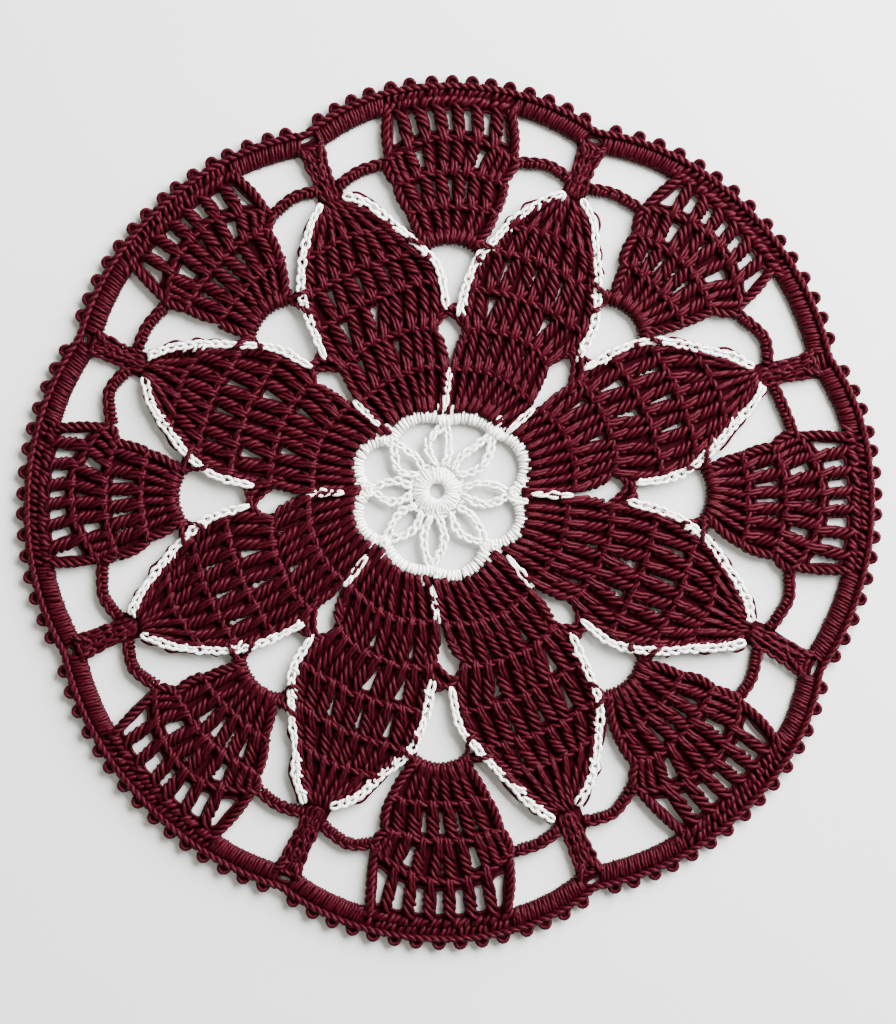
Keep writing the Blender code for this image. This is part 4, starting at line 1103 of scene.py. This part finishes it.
def cotton(name, yarn):
    """Mercerised crochet cotton: plies twisted together, with a soft silky gleam.

    A sine wave of the UV map's turns and length makes the plies, with painted shade in the
    grooves between them.  Each thread's random shade and a fine noise choose its tone, and
    painted shade darkens the thread where it lies deep in the lace.
    """
    if name in bpy.data.materials:
        return bpy.data.materials[name]
    sizes = bpy.context.scene.doily
    groove_shade, body, gleam, gloss = [(*linear(code), 1.0) for code in yarn[:4]]
    material, tree, shader = shaded(name, 0.45, yarn.specular)
    shader.inputs["Specular Tint"].default_value = gloss
    place = add_node(tree, "TexCoord")
    split = add_node(tree, "SeparateXYZ", links=((place, "UV", 0),))
    along = add_node(tree, "Math", {"operation": "MULTIPLY"},
                     {1: sizes.plies / sizes.twist}, ((split, 0, 0),))
    turn = add_node(tree, "Math", {"operation": "MULTIPLY_ADD"},
                    {1: float(sizes.plies)}, ((split, 1, 0), (along, 0, 2)))
    angle = add_node(tree, "Math", {"operation": "MULTIPLY"}, {1: 2 * pi}, ((turn, 0, 0),))
    wave = add_node(tree, "Math", {"operation": "SINE"}, links=((angle, 0, 0),))
    height = add_node(tree, "MapRange", values={1: -1.0, 2: 0.6}, links=((wave, 0, 0),))
    random = add_node(tree, "Attribute", {"attribute_name": "shade"})
    blotch = add_node(tree, "TexNoise", values={"Scale": 420.0, "Detail": 3.0},
                      links=((place, "Object", "Vector"),))
    mix = add_node(tree, "Math", {"operation": "MULTIPLY_ADD"}, {1: 0.5},
                   ((random, "Fac", 0), (blotch, "Fac", 2)))
    ramp = add_node(tree, "MapRange", values={1: 0.45, 2: 1.05}, links=((mix, 0, 0),))
    tone = add_node(tree, "Mix", {"data_type": "RGBA"}, {6: body, 7: gleam},
                    ((ramp, 0, 0),))
    # Painted shade: where the ply wave is low, the grooves between the plies take the darker groove colour.
    paint = add_node(tree, "Mix", {"data_type": "RGBA"}, {6: groove_shade},
                     ((height, 0, 0), (tone, 2, 7)))
    # Painted shade: below LIT the colour darkens with the thread's height, down to the yarn's shadow share
    # at DEEP.
    level = add_node(tree, "SeparateXYZ", links=((place, "Object", 0),))
    shade_by_height = add_node(tree, "MapRange", values={1: DEEP * MM, 2: LIT * MM, 3: yarn.shadow, 4: 1.0},
                     links=((level, 2, 0),))
    painted_shade = add_node(tree, "VectorMath", {"operation": "SCALE"},
                    links=((paint, 2, 0), (shade_by_height, 0, "Scale")))
    bump = add_node(tree, "Bump", values={"Strength": 0.45, "Distance": 0.1 * MM},
                    links=((height, 0, "Height"),))
    tree.links.new(painted_shade.outputs[0], shader.inputs["Base Color"])
    tree.links.new(bump.outputs[0], shader.inputs["Normal"])
    return material


def mottled(name, roughness, specular, noise, low, high):
    """A matt surface whose colour drifts between two linear colours, by a noise."""
    material, tree, shader = shaded(name, roughness, specular)
    place = add_node(tree, "TexCoord")
    drift = add_node(tree, "TexNoise", values=noise, links=((place, "Object", "Vector"),))
    paint = add_node(tree, "Mix", {"data_type": "RGBA"}, {6: (*low, 1.0), 7: (*high, 1.0)},
                     ((drift, "Fac", 0),))
    tree.links.new(paint.outputs[2], shader.inputs["Base Color"])
    return material


# ------------------------ ground
def ground_contours():
    """The outline of the ground, and the outlines of its openings."""
    contours = [rim_point(np.arange(0, 360, 1.5), 1.8), medallion_edge(GAP)]
    for k in range(SECTORS):
        contours += stitch_gaps(petal_point, k, petal_chart(k))
        contours += stitch_gaps(fan_point, k, FAN_CHART)
        contours += [throat(k), slot_outline(k)] + small_gaps(k)
        for side in (-1, 1):
            contours += [inner_window(k, side), rim_window(k, side)]
    return contours


def filled(name, contours, low, high):
    """A flat mesh between two heights inside the first contour and outside the others, and
    the area of its top."""
    curve = bpy.data.curves.new(name, "CURVE")
    curve.dimensions = "2D"
    curve.fill_mode = "BOTH"
    curve.extrude = (high - low) / 2 * MM
    for contour in contours:
        spline = curve.splines.new("POLY")
        spline.points.add(len(contour) - 1)
        flat = np.column_stack((contour * MM, np.zeros(len(contour)), np.ones(len(contour))))
        spline.points.foreach_set("co", flat.ravel())
        spline.use_cyclic_u = True
    shape = bpy.data.objects.new(name, curve)
    bpy.context.scene.collection.objects.link(shape)
    graph = bpy.context.evaluated_depsgraph_get()
    mesh = bpy.data.meshes.new_from_object(shape.evaluated_get(graph))
    bpy.data.objects.remove(shape)
    work = bmesh.new()
    work.from_mesh(mesh)
    bmesh.ops.remove_doubles(work, verts=work.verts, dist=0.001 * MM)
    bmesh.ops.translate(work, verts=work.verts, vec=(0.0, 0.0, (low + high) / 2 * MM))
    bmesh.ops.recalc_face_normals(work, faces=work.faces)
    area = sum(face.calc_area() for face in work.faces if face.normal.z > 0.5)
    work.to_mesh(mesh)
    work.free()
    mesh.name = name
    mesh.materials.clear()
    return mesh, area


# ------------------------ operators
class DoilySizes(bpy.types.PropertyGroup):
    """Sizes that a user would change."""
    thread: FloatProperty(name="Thread", description="Radius of the burgundy thread, in millimetres",
                          default=0.58, min=0.3, max=0.8)
    fine_thread: FloatProperty(name="White thread", description="Radius of the white thread, in millimetres",
                               default=0.43, min=0.3, max=0.8)
    plies: IntProperty(name="Plies", description="Plies in a thread", default=3, min=2, max=6)
    twist: FloatProperty(name="Twist", description="Length of one turn of the plies, in millimetres",
                         default=6.5, min=2.0, max=20.0)
    floor_colour: FloatVectorProperty(name="Floor", description="Colour of the table", subtype="COLOR",
                                      default=linear("#cacbc9"), min=0.0, max=1.0)
    camera_height: FloatProperty(name="Camera height", description="Height of the camera", unit="LENGTH",
                                 default=0.8, min=0.3, max=3.0)


class DOILY_OT_petals(bpy.types.Operator):
    """Eight petals of treble rows, with wraps and stray threads below their white chains"""
    bl_idname = "doily.petals"
    bl_label = "Petals"

    def execute(self, context):
        for k in range(SECTORS):
            rng = np.random.default_rng(100 + k)
            parts = trebles(petal_point, k, petal_chart(k), rng, context.scene.doily.thread, PETAL_REACH)
            for side in (-1, 1):
                line = petal_edge(k, side)
                parts.append(band(line, PETAL_WRAPS, rng, side))
                places, tangents = walk(line, STRAY_STEP)
                places, tangents = places[len(places) // 2:], tangents[len(tangents) // 2:]
                aside = -side * rng.uniform(*STRAY_ASIDE, (len(places), 1))
                parts += rope(places + left_of(tangents) * aside, EDGE_THREAD, rng)
            burgundy_piece(f"petal_{k + 1}", parts)
        return {"FINISHED"}


class DOILY_OT_fans(bpy.types.Operator):
    """Eight fans of treble rows, with a rope along both sides"""
    bl_idname = "doily.fans"
    bl_label = "Fans"

    def execute(self, context):
        for k in range(SECTORS):
            rng = np.random.default_rng(200 + k)
            parts = trebles(fan_point, k, FAN_CHART, rng, context.scene.doily.thread, FAN_REACH, roped=True)
            burgundy_piece(f"fan_{k + 1}", parts)
        return {"FINISHED"}


class DOILY_OT_rim(bpy.types.Operator):
    """Scalloped rim: wraps over a cord, a rope on top and a row of picots"""
    bl_idname = "doily.rim"
    bl_label = "Rim"

    def execute(self, context):
        rng = np.random.default_rng(300)
        parts = []
        for k in range(SECTORS):
            left, right = (fan_turn(k) + degrees(atan2(x, RIM_MIDDLE))
                           for x in (FAN_SIDES[k].left_top, FAN_SIDES[k].right_top))
            for near, far in ((pillar_angle(k - 1) + PILLAR_CLEAR, left - WRAPS_CLEAR),
                              (right + WRAPS_CLEAR, pillar_angle(k) - PILLAR_CLEAR)):
                arc = rim_arc(near, far, 16)
                parts.append(band(arc, RIM_WRAPS, rng))
                parts.append(core(shifted(arc, -RIM_CORD), *RIM_CORE, rng))
            parts.append(band(rim_arc(left - HEADS_PAST, right + HEADS_PAST, 24), RIM_HEADS, rng))
            parts.append(band(rim_arc(left - BRAID_PAST, right + BRAID_PAST, 24), RIM_BRAID, rng))
        angles = np.linspace(-2.0, 360.0, 361)
        parts += rope(rim_point(angles, RIM_TOP), RIM_ROPE, rng)
        parts.append(core(rim_point(angles, RIM_EDGE), *ROPE_CORE, rng))
        burgundy_piece("rim_band", parts)
        picots = []
        for k in range(SECTORS):
            start = pillar_angle(k - 1)
            span = (pillar_angle(k) - start) % 360
            angle = start + np.linspace(PICOT_CLEAR, span - PICOT_CLEAR, PICOTS)
            angle = angle + rng.normal(0, PICOT_LOOSE, PICOTS)
            foot, head = rim_point(angle, PICOT_FOOT), rim_point(angle, -PICOT_HEAD)
            half, thread = PICOT_SIZE
            picots.append(strands(lay(PICOT, foot, head, half, rng), thread, rng, 12, UP))
            half, thread = HEART_SIZE
            picots.append(strands(lay(PICOT_HEART, foot, head, half, rng), thread, rng, 5))
        burgundy_piece("rim_picots", picots)
        return {"FINISHED"}


class DOILY_OT_bridges(bpy.types.Operator):
    """Bridges between petals and fans, and pillars between petals and rim"""
    bl_idname = "doily.bridges"
    bl_label = "Bridges and pillars"

    def execute(self, context):
        rng = np.random.default_rng(400)
        parts = []
        for k in range(SECTORS):
            for side in (-1, 1):
                line = bridge_line(k, side)
                parts.append(band(line, BRIDGE_WRAPS, rng, side))
                parts.append(core(shifted(softened(line), -side * BRIDGE_CORD), *BRIDGE_CORE, rng))
                parts += rope(shifted(softened(line), side * BRIDGE_TOP), BRIDGE_ROPE, rng)
            pillar, near, turn = PILLARS[k], BRIDGES[k], petal_turn(k)
            foot = np.array((pillar.foot_x, (near.left_near[1] + near.right_near[1]) / 2 - PILLAR_BELOW))
            top = np.array((pillar.top_x, rim_radius(pillar_angle(k)) - BAND + PILLAR_IN))
            middle = mixed(foot, top, 0.5)
            for column in (-1, 1, 0):
                line = np.array((foot, middle, top + (0.0, COLUMN_PAST)))
                line[:, 0] += column * np.array(PILLAR_COLUMNS)
                links = PILLAR_LINKS._replace(height=PILLAR_LINKS.height - OUTER_LOWER * abs(column))
                parts.append(chain(turned(turn, line), links, rng))
            line = turned(turn, (foot, middle, top - (0.0, WRAPS_SHORT)))
            parts.append(band(line, PILLAR_WRAPS, rng))
            for side in (-1, 1):
                parts += rope(set_down(turn, top, PILLAR_ARM * (side, 1, 1)), ARM_ROPE, rng)
            if not pillar.gap:
                line = turned(turn, [top + (0.0, outward) for outward in CLOSED_SPAN])
                parts.append(band(line, CLOSED_WRAPS, rng))
            parts += [hem(gap, *GAP_HEM, rng) for gap in small_gaps(k)]
            parts += rope(set_down(turn, top, PILLAR_HEAD), HEAD_ROPE, rng)
        burgundy_piece("bridges_and_pillars", parts)
        return {"FINISHED"}


class DOILY_OT_ties(bpy.types.Operator):
    """Cords that tie the fans to the petals, and the knots where two petals meet"""
    bl_idname = "doily.ties"
    bl_label = "Ties"

    def execute(self, context):
        rng = np.random.default_rng(500)
        parts = []
        for k in range(SECTORS):
            fan, turn = FANS[k], fan_turn(k)
            for side in (-1, 1):
                waist, join = petal_edge(k if side > 0 else k - 1, -side, "waist join")
                corner = fan_point(k, 0, side * TIE_FOOT)
                inward = unit(join - corner)
                parts += tie(corner, join, UPPER_MIDDLE, inward * UPPER_BEYOND, UPPER_TIE, rng)
                aside, outward = LOW_TIE_FOOT
                low = turned(turn, (fan.base_x + side * (BASE_HALF + aside), fan.base_r + outward))
                landing = mixed(join, waist, LOWER_LANDING)
                parts += tie(low, landing, LOWER_MIDDLE, inward * LOWER_BEYOND, LOWER_TIE, rng)
            parts += rope(shifted(np.roll(slot_outline(k), -1, axis=0), SLOT_ASIDE), SLOT_ROPE, rng)
            foot = fan_foot(k, np.linspace(-FOOT_REACH, FOOT_REACH, 9), FOOT_LIFT)
            parts.append(core(foot, *FOOT_CORE, rng))
            parts.append(band(foot, FOOT_WRAPS, rng))
            joint = (fan.joint_x, fan.joint_r)
            parts += rope(set_down(turn, joint, KNOT_OVER), KNOT_ROPE, rng)
            parts += rope(set_down(turn, joint, KNOT_UNDER), UNDER_ROPE, rng)
        burgundy_piece("ties", parts)
        return {"FINISHED"}


class DOILY_OT_chains(bpy.types.Operator):
    """White surface chain on both edges of each petal, and a bar below each throat"""
    bl_idname = "doily.chains"
    bl_label = "White chains"

    def execute(self, context):
        thread = context.scene.doily.fine_thread
        for k in range(SECTORS):
            rng = np.random.default_rng(600 + k)
            parts = []
            for side in (-1, 1):
                line = petal_edge(k, side)
                parts.append(chain(line, EDGE_LINKS._replace(radius=thread), rng))
                parts.append(core(line, *CHAIN_CORE, rng))
                # Spurs run from the chain into the petal, more of them near its tip.
                places, tangents = walk(line, EDGE_LINKS.pitch)
                keep = rng.random(len(places)) < np.linspace(*SPUR_SHARES, len(places))
                heads = places + left_of(tangents) * side * rng.uniform(*SPUR_REACH, (len(places), 1))
                spurs = lay(SPUR, places, heads, 1.0, rng, wobble=0.1)[keep]
                parts.append(strands(spurs, SPUR_THREAD, rng, stations=6))
            white_piece(f"white_chain_{k + 1}", parts, (f"chain_{k + 1}_left", f"chain_{k + 1}_right"))
        rng = np.random.default_rng(650)
        parts = []
        for k, slot in enumerate(SLOTS):
            line = in_fan(k, ((slot.bar_x, slot.bar_r), (slot.bottom_x, slot.bottom_r)))
            parts.append(chain(line, BAR_LINKS._replace(radius=thread), rng))
        white_piece("white_bars", parts, [f"bar_{k + 1}" for k in range(SECTORS)])
        return {"FINISHED"}


class DOILY_OT_medallion(bpy.types.Operator):
    """White medallion: ring of long strands, eight chain loops and eight wrapped arches"""
    bl_idname = "doily.medallion"
    bl_label = "Medallion"

    def execute(self, context):
        rng = np.random.default_rng(700)
        centre = np.array(RING_CENTRE)
        turn_loose, reach_loose = SPOKE_LOOSE
        angle = np.arange(RING_SPOKES) + rng.normal(0, turn_loose, RING_SPOKES)
        angle = 2 * pi * angle / RING_SPOKES
        out = np.stack((np.cos(angle), np.sin(angle)), -1)
        reach = RING_OUTER + SPOKE_END + rng.normal(0, reach_loose, (RING_SPOKES, 1))
        spokes = lay(SPOKE, centre + out * (RING_HOLE + SPOKE_START), centre + out * reach, 0.6, rng)
        parts = [strands(spokes, SPOKE_THREAD, rng, stations=9)]
        turn = np.linspace(0, 2 * pi * RING_LAP, 50)
        ring = np.stack((np.cos(turn), np.sin(turn)), -1)
        radius, height = RING_LIP
        parts.append(swept(raised(centre + ring * (RING_HOLE + LIP_OUT), height), radius, rng))
        parts.append(chain(centre + ring * (RING_OUTER - RING_LINKS_IN), RING_LINKS, rng))
        for k in range(SECTORS):
            for line in loop_sides(k):
                parts.append(chain(line, LOOP_LINKS, rng))
                parts.append(core(line, *LOOP_CORE, rng))
            parts.append(band(arch(k, 16), ARCH_WRAPS, rng))
            parts.append(core(arch(k, 16), *ARCH_CORE, rng))
            cusp = np.array(LOBES[k].cusp)
            along = unit(cusp - centre)
            across = np.array((along[1], -along[0]))
            for side in (-1, 1):
                leg = [cusp + across * side * aside + along * beyond for aside, beyond in CUSP_LEG]
                parts.append(chain(leg, LEG_LINKS, rng))
        white_piece("white_medallion", parts, ("centre_medallion",))
        return {"FINISHED"}


class DOILY_OT_ground(bpy.types.Operator):
    """The thin dark ground of the lace, seen between the threads"""
    bl_idname = "doily.ground"
    bl_label = "Ground"

    def execute(self, context):
        mesh, area = filled("lace_ground", ground_contours(), GROUND_LOW, GROUND_HIGH)
        # The lace's ground in painted shade: matt, coloured like cotton in the shade of the threads above
        # it, without any gloss.
        mesh.materials.append(mottled("cotton_in_shade", 1.0, 0.0, {"Scale": 700.0},
                                      linear("#1c0408"), linear("#2a070e")))
        piece = placed(bpy.data.objects.new("lace_ground", mesh), ("lace_body",))
        return {"FINISHED"}


class DOILY_OT_stage(bpy.types.Operator):
    """Pale table, soft light from the upper right and the camera above"""
    bl_idname = "doily.stage"
    bl_label = "Stage"

    def execute(self, context):
        sizes = context.scene.doily
        mesh = bpy.data.meshes.new("table")
        corners = [(x * TABLE_HALF, y * TABLE_HALF, 0.0) for x, y in ((-1, -1), (1, -1), (1, 1), (-1, 1))]
        mesh.from_pydata(corners, [], [(0, 1, 2, 3)])
        pale = tuple(sizes.floor_colour)
        # Matt paint, with faint clouds in its colour.
        mesh.materials.append(mottled("matt_painted_table", 0.8, 0.2, {"Scale": 60.0, "Detail": 4.0},
                                      [c * 0.97 for c in pale], pale))
        table = bpy.data.objects.new("table", mesh)
        table.location.z = -TABLE_DROP
        context.scene.collection.objects.link(table)
        world = bpy.data.worlds.new("studio")
        world.use_nodes = True
        background = world.node_tree.nodes["Background"]
        background.inputs["Color"].default_value = (*linear("#fff7ec"), 1.0)
        background.inputs["Strength"].default_value = ROOM_LIGHT
        context.scene.world = world
        light = bpy.data.lights.new("window", "AREA")
        light.shape = "RECTANGLE"
        light.size = light.size_y = LAMP_SIZE
        light.energy = LAMP_POWER
        light.color = (0.96, 0.98, 1.0)
        lamp = bpy.data.objects.new("window", light)
        lamp.location = LAMP_AT
        lamp.rotation_euler = (-Vector(LAMP_AT)).to_track_quat("-Z", "Y").to_euler()
        context.scene.collection.objects.link(lamp)
        camera = bpy.data.cameras.new("camera")
        camera.sensor_fit = "VERTICAL"
        camera.sensor_height = 24.0
        camera.lens = camera.sensor_height * sizes.camera_height / VIEW_HEIGHT
        eye = bpy.data.objects.new("camera", camera)
        eye.location = (*VIEW_CENTRE, sizes.camera_height)
        context.scene.collection.objects.link(eye)
        context.scene.camera = eye
        return {"FINISHED"}


class DOILY_PT_panel(bpy.types.Panel):
    """Sizes, and a button for each group of pieces"""
    bl_label = "Doily"
    bl_idname = "DOILY_PT_panel"
    bl_space_type = "VIEW_3D"
    bl_region_type = "UI"
    bl_category = "Doily"

    def draw(self, context):
        sizes = context.scene.doily
        for name in DoilySizes.__annotations__:
            self.layout.prop(sizes, name)
        for operator in OPERATORS:
            self.layout.operator(operator.bl_idname)


OPERATORS = (DOILY_OT_petals, DOILY_OT_fans, DOILY_OT_rim, DOILY_OT_bridges, DOILY_OT_ties,
             DOILY_OT_chains, DOILY_OT_medallion, DOILY_OT_ground, DOILY_OT_stage)
CLASSES = (DoilySizes, *OPERATORS, DOILY_PT_panel)


def register():
    for cls in CLASSES:
        bpy.utils.register_class(cls)
    bpy.types.Scene.doily = PointerProperty(type=DoilySizes)


def unregister():
    del bpy.types.Scene.doily
    for cls in reversed(CLASSES):
        bpy.utils.unregister_class(cls)


def main():
    register()
    for operator in OPERATORS:
        group, name = operator.bl_idname.split(".")
        getattr(getattr(bpy.ops, group), name)()


if __name__ == "__main__":
    main()
